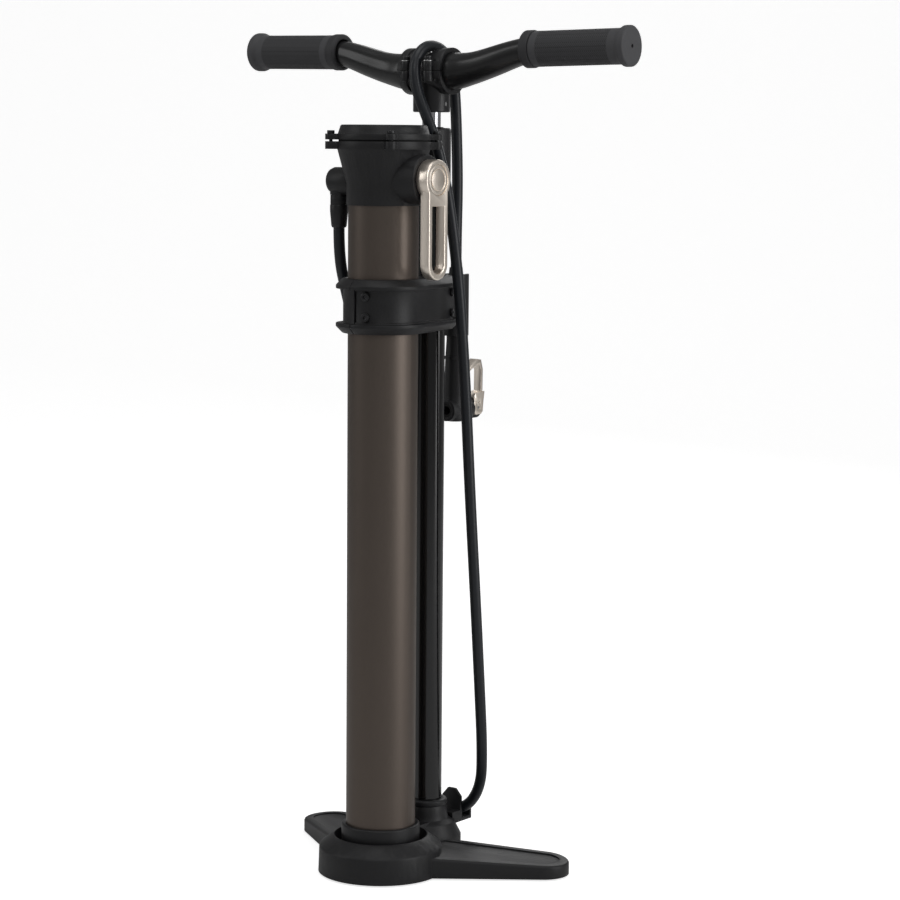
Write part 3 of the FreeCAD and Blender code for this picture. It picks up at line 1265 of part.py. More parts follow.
def make_bracket(label, keep_right):
    """One half of the ribbed bracket round the chamber and the barrel."""
    body = new_body(label)
    whole = new_sketch(body, offset="bracket_low_z")
    hull(whole, "rib_radius", "rib_rear_radius")
    pad(body, whole, "bracket_top_z - bracket_low_z")
    soften(body, "rib_bevel", lambda edge, extent: near(edge.BoundBox.ZMax, extent.ZMin)
           or near(edge.BoundBox.ZMin, extent.ZMax), "Chamfer")
    waist = new_sketch(body, offset="bracket_low_z + rib_height")
    hull(waist, "rib_radius + 5", "rib_rear_radius + 5")
    hull(waist, "shell_radius", "shell_rear_radius")
    pocket(body, waist, "bracket_top_z - bracket_low_z - 2 * rib_height", reverse=True)
    if keep_right:
        sink_panel(body)
    bores = new_sketch(body)
    circle(bores, "0", "chamber_y", "chamber_radius + seat_gap")
    circle(bores, "0", "0", "barrel_radius + seat_gap")
    pocket(body, bores)
    half = new_sketch(body)
    if keep_right:
        box(half, "-70", "split_x + seam_gap / 2", "chamber_y - 60", "60")
    else:
        box(half, "split_x - seam_gap / 2", "70", "chamber_y - 60", "60")
    pocket(body, half)
    return body


def sink_panel(body):
    """A flat-bottomed recess in the right half's wall, from the front round to the barrel."""
    panel = new_sketch(body, offset="bracket_low_z + panel_margin")
    hull(panel, "rib_radius + 5", "rib_rear_radius + 5")
    hull(panel, "shell_radius - panel_depth", "shell_rear_radius - panel_depth")
    pocket(body, panel, "bracket_height - 2 * panel_margin", reverse=True)


def make_bracket_screws():
    """Button heads on the front of the right half, and two more at its side by the barrel."""
    screws = []
    for row in ("-", "+"):
        z = "bracket_mid_z %s clamp_screw_pitch / 2" % row
        lean = math.radians(VALUES["clamp_screw_turn"])
        screws.append(button("front_screw_reach * sin(clamp_screw_turn)",
                             "chamber_y - front_screw_reach * cos(clamp_screw_turn)", z,
                             V(math.sin(lean), -math.cos(lean), 0)))
        lean = math.radians(VALUES["side_screw_turn"])
        screws.append(button("side_screw_reach * cos(side_screw_turn)",
                             "side_screw_reach * sin(side_screw_turn)", z,
                             V(math.cos(lean), math.sin(lean), 0)))
    group("bracket_screws", screws)


def button(x, y, z, outwards):
    facing = FreeCAD.Rotation(V(0, 0, 1), outwards)
    head = cylinder("button_head", "clamp_screw_radius", "2.6", x, y, z, facing)
    socket = DOC.addObject("Part::Prism", "button_socket")
    socket.Polygon = 6
    socket.Circumradius = 1.5
    socket.Height = 6
    centre = cylinder("button_centre", "clamp_screw_radius", "1", x, y, z, facing)
    place(socket, x, y, z, facing)
    lifted = cut("button_blank", head, socket)
    return fuse("bracket_screw", [lifted, centre])


# Chuck.

def make_holster():
    """A sleeve behind the barrel, open at its back for the hose."""
    body = new_body("chuck_holster")
    outer = "chuck_neck_radius + 0.5 + holster_wall"
    wall = new_sketch(body, offset="holster_low_z")
    circle(wall, "0", "chuck_y", outer)
    pad(body, wall, "bracket_top_z - holster_low_z")
    web = new_sketch(body, offset="bracket_low_z + rib_height + 0.4")
    box(web, "-7", "7", "shell_rear_radius - 1", "chuck_y - 6")
    pad(body, web, "bracket_top_z - bracket_low_z - 2 * rib_height - 0.8")
    bore = new_sketch(body)
    circle(bore, "0", "chuck_y", "chuck_neck_radius + 0.5")
    pocket(body, bore)
    slot = new_sketch(body)
    box(slot, "-holster_slot / 2", "holster_slot / 2", "chuck_y", "chuck_y + 30")
    pocket(body, slot)
    rib, wall = "rib_rear_radius + body_gap", "shell_rear_radius + 0.05"
    low, high = "bracket_low_z + rib_height + 0.2", "bracket_top_z - rib_height - 0.2"
    turn(body, [("0", "holster_low_z - 1"), (rib, "holster_low_z - 1"), (rib, low), (wall, low),
                (wall, high), (rib, high), (rib, "bracket_top_z + 1"), ("0", "bracket_top_z + 1")],
                cut=True)
    return body


def make_chuck():
    body = new_body("chuck_body")
    turn(body, [("0", "chuck_low_z"), ("chuck_radius - 2", "chuck_low_z"),
                ("chuck_radius", "chuck_low_z + 2"),
                ("chuck_radius", "pin_z + 14"), ("chuck_neck_radius + 1", "chuck_seam_z - 2"),
                ("chuck_neck_radius", "holster_low_z - 4"), ("chuck_neck_radius", "bracket_top_z - 8"),
                ("chuck_tail_radius", "bracket_top_z"), ("chuck_tail_radius - 0.6", "chuck_top_z"),
                ("0", "chuck_top_z")])
    place(body, y="chuck_y")
    head = new_sketch(body, "XZ_Plane", "chuck_y - mouth_y")
    circle(head, "0", "pin_z", "tongue_radius + 0.4")
    pad(body, head, "pin_y - 9.8 - mouth_y", reverse=True)
    tongue = new_sketch(body, "YZ_Plane")
    box(tongue, "0", "pin_y - chuck_y", "pin_z - tongue_radius", "pin_z + tongue_radius")
    pad(body, tongue, "2 * tongue_half", both=True)
    tip = new_sketch(body, "YZ_Plane")
    circle(tip, "pin_y - chuck_y", "pin_z", "tongue_radius")
    pad(body, tip, "2 * tongue_half", both=True)
    mouth = new_sketch(body, "XZ_Plane", "chuck_y - mouth_y")
    circle(mouth, "0", "pin_z", "mouth_radius + 2.2")
    pocket(body, mouth, "5", reverse=False)
    throat = new_sketch(body, "XZ_Plane", "chuck_y - mouth_y")
    circle(throat, "0", "pin_z", "mouth_radius")
    pocket(body, throat, "14", reverse=False)
    pivot = new_sketch(body, "YZ_Plane")
    circle(pivot, "pin_y - chuck_y", "pin_z", "pin_radius + snug_gap")
    pocket(body, pivot)
    turned("chuck_seal", tube("mouth_radius", "mouth_radius + 2.1", "0.4", "4.9"), y="mouth_y", z="pin_z",
           facing=ALONG_Y)
    ring = "chuck_neck_radius + 1.05"
    turned("chuck_ring", tube(ring, "chuck_neck_radius + 1.7", "chuck_seam_z - 2", "chuck_seam_z + 0.6"),
           y="chuck_y")
    pin = cylinder("lever_pin", "pin_radius", "2 * lever_half - 0.8", "-lever_half + 0.4", "pin_y",
                   "pin_z", ALONG_X)
    pin.Label = "lever_pin"
    make_chuck_lever()


def make_chuck_lever():
    """A thumb lever: a fork on the pin, a bar up the back and a tab bent over the body."""
    body = new_body("chuck_lever")
    side = new_sketch(body, "YZ_Plane")
    outline(side, [("-4.5", "-6"), ("3.5", "-6"), ("6.2", "-3.5"), ("7", "4"), ("8.6", "14"),
                   ("8.8", "34"),
                   ("6", "42.5"), ("0", "43.5"), ("-14.5", "34.5"), ("-14.5", "31.5"), ("-1", "38.2"),
                   ("3", "38.6"), ("5.9", "33"), ("5.8", "lever_foot"), ("-5.5", "lever_foot"),
                   ("-6.5", "lever_foot - 2.8"), ("-6.5", "-3.5")])
    pad(body, side, "2 * lever_half", both=True)
    waist = new_sketch(body, "XZ_Plane")
    box(waist, "lever_strip_half", "lever_half + 1", "lever_foot + 0.6", "50")
    box(waist, "-lever_half - 1", "-lever_strip_half", "lever_foot + 0.6", "50")
    pocket(body, waist)
    dimples = new_sketch(body, "YZ_Plane", "lever_half")
    circle(dimples, "-4", "5", "0.7")
    circle(dimples, "0.8", "5", "0.7")
    pocket(body, dimples, "0.8")
    fork = new_sketch(body, "YZ_Plane")
    circle(fork, "0", "0", "tongue_radius + body_gap")
    pocket(body, fork, "2 * tongue_half + 2 * body_gap", both=True)
    notch = new_sketch(body, "YZ_Plane")
    box(notch, "-12", "0", "-tongue_radius - body_gap", "tongue_radius + body_gap")
    pocket(body, notch, "2 * tongue_half + 2 * body_gap", both=True)
    pivot = new_sketch(body, "YZ_Plane")
    circle(pivot, "0", "0", "pin_radius + run_gap")
    pocket(body, pivot)
    place(body, y="pin_y", z="pin_z")


# Hose.

# The hose's route, in order from the elbow to the chuck: down the left side, through the guide
# behind the barrel, up the right side, over the handlebar clamp and down into the chuck.
HOSE_ROUTE = [
    (-48, -67.5, 558), (-48, -67.5, 533), (-47.2, -58.5, 503), (-43.8, -46, 460), (-40.5, -33, 400),
    (-37, -18, 330), (-36, -4.5, 250), (-37.6, 9, 170), (-40.5, 21, 106), (-40.5, 31, 62),
    (-18, 37.5, 35), (14, 38, 35), (36, 32.5, 60), (41.8, 25.5, 98), (44, 18, 150), (44, 10.5, 230),
    (41, 4.5, 330), (38, 1, 420), (34.5, -5, 510), (28.5, -12.5, 583), (20.5, -19.5, 630),
    (11.5, -24.5, 656), (3, -27, 677), (0, -26, 699), (0, -11, 713.6), (0, 11, 713.6), (0, 28, 701),
    (0, 34, 679), (0.8, 36.2, 640), (1.6, 37.2, 594), (0, 38, 550), (0, 38, 522),
]


def route_wire(points):
    """Straight runs joined by tangent arcs, each as large as its two runs allow."""
    corners = [V(*point) for point in points]
    edges = []
    here = corners[0]
    for k in range(1, len(corners) - 1):
        into = (corners[k] - corners[k - 1])
        out = (corners[k + 1] - corners[k])
        run = min(into.Length, out.Length)
        half_turn = into.getAngle(out) / 2
        radius = 0.45 * run / math.tan(half_turn)
        start = corners[k] - V(into).normalize() * (0.45 * run)
        end = corners[k] + V(out).normalize() * (0.45 * run)
        to_centre = (V(out).normalize() - V(into).normalize()).normalize()
        centre = corners[k] + to_centre * (radius / math.cos(half_turn))
        middle = centre - to_centre * radius
        edges.append(Part.LineSegment(here, start).toShape())
        edges.append(Part.Arc(start, middle, end).toShape())
        print("hose radius %2d: %6.1f  run %5.1f" % (k, radius, run))
        here = end
    edges.append(Part.LineSegment(here, corners[-1]).toShape())
    return Part.Wire(edges)


def make_hose():
    wire = route_wire(HOSE_ROUTE)
    start = V(*HOSE_ROUTE[0])
    section = Part.Wire(Part.Circle(start, V(*HOSE_ROUTE[1]) - start, VALUES["hose_radius"]).toShape())
    solid = wire.makePipeShell([section], True, True)
    hose = DOC.addObject("Part::Feature", "hose")
    hose.Label = "hose"
    hose.Shape = solid
    expected = math.pi * VALUES["hose_radius"] ** 2 * wire.Length
    print("hose length %.0f mm, volume %.4f of section times length" % (wire.Length,
                                                                        solid.Volume / expected))


# Whole pump.

def make_stem_pin():
    pin = cylinder("stem_pin", "stem_pin_radius", "2 * stem_radius - 1.2", "-stem_radius + 0.6", "0",
                   "stem_low_z + stem_pin_rise", ALONG_X)
    pin.Label = "stem_pin"


def make_all():
    make_base()
    make_feet()
    make_base_screws()
    make_hose_guide()
    make_chamber()
    make_barrel()
    make_check_valve()
    make_rod()
    make_stem()
    make_stem_pin()
    make_clamp_cap("clamp_cap_left", -1)
    make_clamp_cap("clamp_cap_right", 1)
    make_clamp_bolts()
    make_bar()
    make_grip("right", 1)
    make_grip("left", -1)
    make_head()
    make_valve()
    make_lever()
    make_gauge()
    make_outlet()
    make_bracket("bracket_left", False)
    make_bracket("bracket_right", True)
    make_bracket_screws()
    make_holster()
    make_chuck()
    make_hose()


NODES = [
    "base", "foot_pads", "base_screws", "hose_guide", "chamber_tube", "chamber_collar",
    "chamber_foot_seal",
    "chamber_top_seal", "barrel_tube", "barrel_collar", "barrel_cap", "barrel_plug", "check_ball",
    "check_spring",
    "piston_rod", "piston", "piston_seal", "piston_nut", "rod_bush", "rod_wiper", "stem", "stem_pin",
    "clamp_cap_left", "clamp_cap_right", "clamp_bolts", "clamp_washers", "handlebar", "grip_right",
    "grip_left",
    "grip_ring_right", "grip_ring_left", "head_body", "valve_spool", "spool_seals", "valve_lever",
    "lever_cap",
    "lever_screw", "gauge_cover", "flange_gasket", "gauge_lens", "gauge_case", "gauge_dial",
    "gauge_movement",
    "gauge_needle", "flange_screws", "hose_elbow", "elbow_swivel", "hose_ferrule", "bracket_left",
    "bracket_right", "bracket_screws", "chuck_holster", "chuck_body", "chuck_seal", "chuck_ring",
    "lever_pin",
    "chuck_lever", "hose",
]


def check_and_write():
    """Nothing is written unless every object and every shape is sound."""
    faults = []
    for item in DOC.Objects:
        if "Invalid" in item.State or "Error" in item.State:
            faults.append("%s is %s" % (item.Name, item.State))
    for label in NODES:
        found = DOC.getObjectsByLabel(label)
        if len(found) != 1 or found[0].Shape.isNull() or not found[0].Shape.isValid():
            faults.append(label + " has no sound shape")
    if faults:
        raise ValueError("; ".join(faults))
    os.makedirs("parts", exist_ok=True)
    for label in NODES:
        DOC.getObjectsByLabel(label)[0].Shape.exportStep("parts/%s.step" % label)


make_sheet()
make_all()
DOC.recompute()
check_and_write()
print("%d nodes written" % len(NODES))
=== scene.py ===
import json
import math

import bpy
from mathutils import Matrix, Vector

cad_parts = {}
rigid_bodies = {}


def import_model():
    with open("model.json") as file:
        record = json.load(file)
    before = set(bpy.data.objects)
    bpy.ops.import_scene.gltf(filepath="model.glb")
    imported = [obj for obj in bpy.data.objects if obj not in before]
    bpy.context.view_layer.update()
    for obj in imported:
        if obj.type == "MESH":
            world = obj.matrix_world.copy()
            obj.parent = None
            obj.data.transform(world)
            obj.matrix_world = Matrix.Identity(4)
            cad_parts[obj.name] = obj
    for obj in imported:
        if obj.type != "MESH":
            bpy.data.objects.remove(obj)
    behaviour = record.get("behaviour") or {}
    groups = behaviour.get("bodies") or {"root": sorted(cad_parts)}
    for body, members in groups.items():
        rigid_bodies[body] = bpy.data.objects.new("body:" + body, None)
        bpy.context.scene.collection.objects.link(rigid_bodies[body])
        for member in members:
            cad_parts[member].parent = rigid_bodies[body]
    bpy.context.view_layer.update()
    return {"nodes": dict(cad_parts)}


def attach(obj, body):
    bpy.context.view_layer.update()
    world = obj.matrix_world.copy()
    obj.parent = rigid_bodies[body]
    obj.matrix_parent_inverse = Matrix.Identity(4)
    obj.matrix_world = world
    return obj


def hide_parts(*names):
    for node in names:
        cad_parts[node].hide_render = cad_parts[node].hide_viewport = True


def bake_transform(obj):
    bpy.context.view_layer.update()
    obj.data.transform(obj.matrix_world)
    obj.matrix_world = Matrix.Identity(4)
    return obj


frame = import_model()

nodes = frame["nodes"]
mm = 0.001


studio = {
    "place": (1.371, -1.856, 0.632),   # where the camera stands
    "turn": 36.0,                      # degrees round the pump, from straight in front
    "dip": 6.64,                       # degrees it looks down
    "roll": 0.45,
    "lens": 106.0,
    "sensor": 36,
    "fill": 0.24,                      # even light from all round
    "white": 0.97,                     # the empty studio as it is seen
    "lights": [                        # name, place, size and power
        ("softKey", (2.25, 0.45, 1.0), (1.2, 2.3), 25),
        ("softLeft", (-1.6, -1.5, 1.5), (0.5, 1.9), 7),
        ("softFront", (1.3, -1.9, 2.2), (1.2, 0.8), 9),
        ("softTop", (0.1, -0.3, 2.5), (1.5, 1.2), 9),
        ("softBack", (-0.6, 1.9, 1.4), (1.4, 1.4), 10),
    ],
    "aim": (0, -0.03, 0.42),           # where every light points
}

backdrop = {
    "floor": 7.0,                      # towards the camera
    "wall": 4.5,                       # behind the pump
    "bend": 2.5,                       # radius between floor and wall
    "steps": 16,
    "half": 9.0,
    "smooth": 40,
    "shade": 0.75,
    "rough": 0.85,
    "shine": 0.1,
    "glow": 0.72,                      # what it adds to its own shade
}


def aheadAndRight():
    turn = math.radians(studio["turn"])
    return Vector((-math.sin(turn), math.cos(turn), 0)), Vector((math.cos(turn), math.sin(turn), 0))


def setCamera():
    data = bpy.data.cameras.new("viewCamera")
    data.lens = studio["lens"]
    data.sensor_width = studio["sensor"]
    camera = bpy.data.objects.new("viewCamera", data)
    bpy.context.scene.collection.objects.link(camera)
    dip, roll = math.radians(studio["dip"]), math.radians(studio["roll"])
    level, right = aheadAndRight()
    ahead = level * math.cos(dip) - Vector((0, 0, math.sin(dip)))
    up = right.cross(ahead)
    tiltedRight = right * math.cos(roll) + up * math.sin(roll)
    tiltedUp = up * math.cos(roll) - right * math.sin(roll)
    rows = Matrix((tiltedRight, tiltedUp, -ahead)).transposed().to_4x4()
    camera.matrix_world = Matrix.Translation(studio["place"]) @ rows
    bpy.context.scene.camera = camera


def addLight(name, place, size, power):
    data = bpy.data.lights.new(name, "AREA")
    data.shape = "RECTANGLE"
    data.size, data.size_y = size
    data.energy = power
    light = bpy.data.objects.new(name, data)
    bpy.context.scene.collection.objects.link(light)
    light.location = place
    aim = Vector(studio["aim"]) - Vector(place)
    light.rotation_euler = aim.to_track_quat("-Z", "Y").to_euler()


# the studio looks brighter than it lights, so that black parts stay black
def linkSeenLight(tree, socket, unseen, seen):
    rays = tree.nodes.new("ShaderNodeLightPath")
    mix = tree.nodes.new("ShaderNodeMix")
    mix.inputs["A"].default_value = unseen
    mix.inputs["B"].default_value = seen
    tree.links.new(rays.outputs["Is Camera Ray"], mix.inputs["Factor"])
    tree.links.new(mix.outputs["Result"], socket)


def setStudio():
    world = bpy.data.worlds.new("paleStudio")
    bpy.context.scene.world = world
    world.use_nodes = True
    backing = world.node_tree.nodes["Background"]
    backing.inputs["Color"].default_value = (1, 1, 1, 1)
    linkSeenLight(world.node_tree, backing.inputs["Strength"], studio["fill"], studio["white"])
    bpy.context.scene.view_settings.view_transform = "Standard"
    for light in studio["lights"]:
        addLight(*light)
    makeBackdrop()


def makeBackdrop():
    floor, wall, bend, half = (backdrop[k] for k in ("floor", "wall", "bend", "half"))
    steps = backdrop["steps"]
    profile = [(-floor, 0.0), (wall - bend, 0.0)]
    for step in range(1, steps + 1):
        turn = math.radians(90) * step / steps
        profile.append((wall - bend + bend * math.sin(turn), bend - bend * math.cos(turn)))
    profile.append((wall, floor))
    ahead, side = aheadAndRight()
    corners = []
    for along, up in profile:
        middle = ahead * along + Vector((0, 0, up))
        corners += [middle + side * half, middle - side * half]
    faces = [(2 * k, 2 * k + 2, 2 * k + 3, 2 * k + 1) for k in range(len(profile) - 1)]
    data = bpy.data.meshes.new("studioBackdrop")
    data.from_pydata(corners, [], faces)
    item = bpy.data.objects.new("studioBackdrop", data)
    bpy.context.scene.collection.objects.link(item)
    smoothBy(item, backdrop["smooth"])
    material = bpy.data.materials.new("paleBackdrop")
    material.use_nodes = True
    shader = material.node_tree.nodes["Principled BSDF"]
    shader.inputs["Base Color"].default_value = (*[backdrop["shade"]] * 3, 1)
    shader.inputs["Roughness"].default_value = backdrop["rough"]
    shader.inputs["Specular IOR Level"].default_value = backdrop["shine"]
    shader.inputs["Emission Color"].default_value = (1, 1, 1, 1)
    linkSeenLight(material.node_tree, shader.inputs["Emission Strength"], 0.0, backdrop["glow"])
    data.materials.append(material)


surface = {
    "cellShare": 0.5,                  # cells against fine noise in the grain
    "cloudDetail": 4.0,
    "relief": 0.0004,                  # height of the grain
    "coatRough": 0.12,
    "groove": (0.012, 0.012, 0.013),   # painted shade: the colour the knurl's grooves darken to
}


def groupWith(name, inputs, outputs):
    tree = bpy.data.node_groups.new(name, "ShaderNodeTree")
    for label, kind, value in inputs:
        socket = tree.interface.new_socket(name=label, in_out="INPUT", socket_type=kind)
        socket.default_value = value
    for label, kind in outputs:
        tree.interface.new_socket(name=label, in_out="OUTPUT", socket_type=kind)
    return tree, tree.nodes.new("NodeGroupInput"), tree.nodes.new("NodeGroupOutput")


def mathNode(tree, operation, first, second):
    node = tree.nodes.new("ShaderNodeMath")
    node.operation = operation
    for slot, value in enumerate((first, second)):
        if isinstance(value, (int, float)):
            node.inputs[slot].default_value = value
        else:
            tree.links.new(value, node.inputs[slot])
    return node.outputs[0]


def makeGrainGroup():
    inputs = [
        ("Scale", "NodeSocketFloat", 900.0),
        ("Detail", "NodeSocketFloat", 3.0),
    ]
    tree, given, result = groupWith("mouldedGrain", inputs, [("Height", "NodeSocketFloat")])
    place = tree.nodes.new("ShaderNodeTexCoord")
    fine = tree.nodes.new("ShaderNodeTexNoise")
    cells = tree.nodes.new("ShaderNodeTexVoronoi")
    for texture in (fine, cells):
        tree.links.new(place.outputs["Object"], texture.inputs["Vector"])
        tree.links.new(given.outputs["Scale"], texture.inputs["Scale"])
    tree.links.new(given.outputs["Detail"], fine.inputs["Detail"])
    share = mathNode(tree, "MULTIPLY", cells.outputs["Distance"], surface["cellShare"])
    both = mathNode(tree, "ADD", fine.outputs["Fac"], share)
    tree.links.new(both, result.inputs["Height"])
    return tree


def makeDriftGroup():
    inputs = [
        ("Color", "NodeSocketColor", (0.5, 0.5, 0.5, 1)),
        ("Roughness", "NodeSocketFloat", 0.5),
        ("Tint", "NodeSocketFloat", 0.1),
        ("Spread", "NodeSocketFloat", 0.05),
        ("Scale", "NodeSocketFloat", 12.0),
    ]
    outputs = [("Color", "NodeSocketColor"), ("Roughness", "NodeSocketFloat")]
    tree, given, result = groupWith("slowDrift", inputs, outputs)
    place = tree.nodes.new("ShaderNodeTexCoord")
    cloud = tree.nodes.new("ShaderNodeTexNoise")
    cloud.inputs["Detail"].default_value = surface["cloudDetail"]
    tree.links.new(place.outputs["Object"], cloud.inputs["Vector"])
    tree.links.new(given.outputs["Scale"], cloud.inputs["Scale"])
    centred = mathNode(tree, "SUBTRACT", cloud.outputs["Fac"], 0.5)
    lift = mathNode(tree, "MULTIPLY", centred, given.outputs["Tint"])
    lift = mathNode(tree, "ADD", lift, 1.0)
    bright = tree.nodes.new("ShaderNodeVectorMath")
    bright.operation = "SCALE"
    tree.links.new(given.outputs["Color"], bright.inputs[0])
    tree.links.new(lift, bright.inputs["Scale"])
    tree.links.new(bright.outputs[0], result.inputs["Color"])
    rough = mathNode(tree, "MULTIPLY", centred, given.outputs["Spread"])
    rough = mathNode(tree, "ADD", rough, given.outputs["Roughness"])
    tree.links.new(rough, result.inputs["Roughness"])
    return tree


grainGroup = makeGrainGroup()
driftGroup = makeDriftGroup()


finishes = {
    "satinBronze": dict(colour=(0.125, 0.103, 0.088), rough=0.44, metal=0.88,
                        grain=1500, bump=0.05, tint=0.08, spread=0.05),
    "charcoalNylon": dict(colour=(0.0105, 0.0105, 0.0115), rough=0.46, shine=0.36,
                          grain=1300, bump=0.13, tint=0.25, spread=0.1),
    "glossBlack": dict(colour=(0.004, 0.004, 0.0045), rough=0.16, coat=0.35, shine=0.4,
                       grain=300, bump=0.008, tint=0.15, spread=0.05),
    "satinBar": dict(colour=(0.006, 0.006, 0.0065), rough=0.3, coat=0.12, shine=0.42,
                     grain=1600, bump=0.03, tint=0.2, spread=0.06),
    "blackAlloy": dict(colour=(0.009, 0.009, 0.01), rough=0.36, shine=0.42,
                       grain=1200, bump=0.06, tint=0.2, spread=0.08),
    "nickel": dict(colour=(0.93, 0.84, 0.74), rough=0.34, metal=1.0,
                   grain=1400, bump=0.03, tint=0.05, spread=0.08),
    "machinedSteel": dict(colour=(0.55, 0.55, 0.55), rough=0.26, metal=1.0,
                          grain=900, bump=0.03, tint=0.06, spread=0.08),
    "blackScrew": dict(colour=(0.035, 0.035, 0.037), rough=0.3, metal=0.6,
                       grain=1500, bump=0.04, tint=0.2, spread=0.1),
    "chromeRod": dict(colour=(0.55, 0.55, 0.57), rough=0.12, metal=1.0,
                      grain=700, bump=0.008, tint=0.03, spread=0.04),
    "turnedBrass": dict(colour=(0.66, 0.48, 0.22), rough=0.3, metal=1.0,
                        grain=900, bump=0.03, tint=0.08, spread=0.1),
    "gripRubber": dict(colour=(0.062, 0.062, 0.066), rough=0.66, shine=0.4, groove=True,
                       grain=1500, bump=0.12, tint=0.2, spread=0.08),
    "ringRubber": dict(colour=(0.03, 0.03, 0.0325), rough=0.6, shine=0.4,
                       grain=1500, bump=0.12, tint=0.2, spread=0.08),
    "hoseRubber": dict(colour=(0.0085, 0.0105, 0.014), rough=0.36, sheen=0.05, shine=0.4,
                       grain=1600, bump=0.05, tint=0.2, spread=0.08),
    "footRubber": dict(colour=(0.012, 0.012, 0.012), rough=0.8, shine=0.3,
                       grain=1000, bump=0.15, tint=0.2, spread=0.08),
    "whiteAcetal": dict(colour=(0.7, 0.69, 0.65), rough=0.45,
                        grain=900, bump=0.03, tint=0.05, spread=0.06),
    "dialWhite": dict(colour=(0.82, 0.82, 0.8), rough=0.5,
                      grain=1500, bump=0.02, tint=0.03, spread=0.04),
    "printBlack": dict(colour=(0.015, 0.015, 0.016), rough=0.55,
                       grain=1500, bump=0.02, tint=0.05, spread=0.04),
    "needleRed": dict(colour=(0.6, 0.03, 0.02), rough=0.4,
                      grain=1500, bump=0.02, tint=0.06, spread=0.04),
}

lens = {
    "colour": (0.96, 0.98, 0.98),
    "rough": 0.03,
    "bend": 1.45,
}


def makeFinish(name, colour, rough, grain, bump, tint, spread, metal=0.0, coat=0.0, sheen=0.0, shine=0.5,
               groove=False):
    material = bpy.data.materials.new(name)
    material.use_nodes = True
    tree = material.node_tree
    shader = tree.nodes["Principled BSDF"]
    shader.inputs["Metallic"].default_value = metal
    shader.inputs["Coat Weight"].default_value = coat
    shader.inputs["Coat Roughness"].default_value = surface["coatRough"]
    shader.inputs["Sheen Weight"].default_value = sheen
    shader.inputs["Specular IOR Level"].default_value = shine
    drift = tree.nodes.new("ShaderNodeGroup")
    drift.node_tree = driftGroup
    drift.inputs["Color"].default_value = (*colour, 1)
    drift.inputs["Roughness"].default_value = rough
    drift.inputs["Tint"].default_value = tint
    drift.inputs["Spread"].default_value = spread
    tree.links.new(drift.outputs["Roughness"], shader.inputs["Roughness"])
    baseColour = drift.outputs["Color"]
    # painted shade in the knurl: the colour darkens towards the groove colour where the grip is cut in
    if groove:
        shadeInGroove = tree.nodes.new("ShaderNodeAttribute")
        shadeInGroove.attribute_name = "groove"
        darker = tree.nodes.new("ShaderNodeMix")
        darker.data_type = "RGBA"
        darker.inputs["B"].default_value = (*surface["groove"], 1)
        tree.links.new(shadeInGroove.outputs["Fac"], darker.inputs["Factor"])
        tree.links.new(baseColour, darker.inputs["A"])
        baseColour = darker.outputs["Result"]
    tree.links.new(baseColour, shader.inputs["Base Color"])
    texture = tree.nodes.new("ShaderNodeGroup")
    texture.node_tree = grainGroup
    texture.inputs["Scale"].default_value = grain
    relief = tree.nodes.new("ShaderNodeBump")
    relief.inputs["Strength"].default_value = bump
    relief.inputs["Distance"].default_value = surface["relief"]
    tree.links.new(texture.outputs["Height"], relief.inputs["Height"])
    tree.links.new(relief.outputs["Normal"], shader.inputs["Normal"])
    return material


def makeGlass():
    material = bpy.data.materials.new("clearLens")
    material.use_nodes = True
    shader = material.node_tree.nodes["Principled BSDF"]
    shader.inputs["Transmission Weight"].default_value = 1.0
    shader.inputs["Roughness"].default_value = lens["rough"]
    shader.inputs["IOR"].default_value = lens["bend"]
    shader.inputs["Base Color"].default_value = (*lens["colour"], 1)
    return material


finish = {name: makeFinish(name, **values) for name, values in finishes.items()}
finish["clearLens"] = makeGlass()


def clearSelection():
    for item in bpy.context.scene.objects:
        item.select_set(False)


def choose(item):
    clearSelection()
    item.select_set(True)
    bpy.context.view_layer.objects.active = item


def wear(item, finishName):
    item.data.materials.clear()
    item.data.materials.append(finish[finishName])


def applyModifier(item, kind, **values):
    choose(item)
    modifier = item.modifiers.new(kind.title(), kind)
    for key, value in values.items():
        setattr(modifier, key, value)
    bpy.ops.object.modifier_apply(modifier=modifier.name)


def smoothBy(item, degrees):
    choose(item)
    bpy.ops.object.shade_smooth_by_angle(angle=math.radians(degrees))


def settle(item):
    choose(item)
    bpy.ops.object.transform_apply(location=True, rotation=True, scale=True)


# joins loose vertices, then merges flat faces or turns the faces outwards
def mendMesh(item, gap, flat=None):
    choose(item)
    bpy.ops.object.mode_set(mode="EDIT")
    bpy.ops.mesh.select_all(action="SELECT")
    bpy.ops.mesh.remove_doubles(threshold=gap)
    if flat:
        bpy.ops.mesh.dissolve_limited(angle_limit=math.radians(flat))
    else:
        bpy.ops.mesh.normals_make_consistent(inside=False)
    bpy.ops.object.mode_set(mode="OBJECT")


def curveThrough(name, places, radii, shape):
    data = bpy.data.curves.new(name, "CURVE")
    data.dimensions = "3D"
    data.resolution_u = shape["resolution"]
    data.bevel_resolution = shape["rings"]
    data.use_fill_caps = True
    spline = data.splines.new("NURBS")
    spline.points.add(len(places) - 1)
    for point, place, radius in zip(spline.points, places, radii):
        point.co = (*(v * mm for v in place), 1)
        point.radius = radius
    spline.order_u = 3
    spline.use_endpoint_u = True
    item = bpy.data.objects.new(name, data)
    bpy.context.scene.collection.objects.link(item)
    return item


def curveToMesh(item):
    choose(item)
    bpy.ops.object.convert(target="MESH")
    return bpy.context.view_layer.objects.active


def adopt(item, body, slot, *replaced):
    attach(item, body)
    if replaced:
        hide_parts(*replaced)


rounding = {
    "gap": 0.00001,                    # vertices closer than this are one
    "flat": 0.6,                       # degrees between faces that count as one
    "bend": 28,                        # degrees at which an edge gets rounded
    "segments": 2,
    "smooth": 32,
}


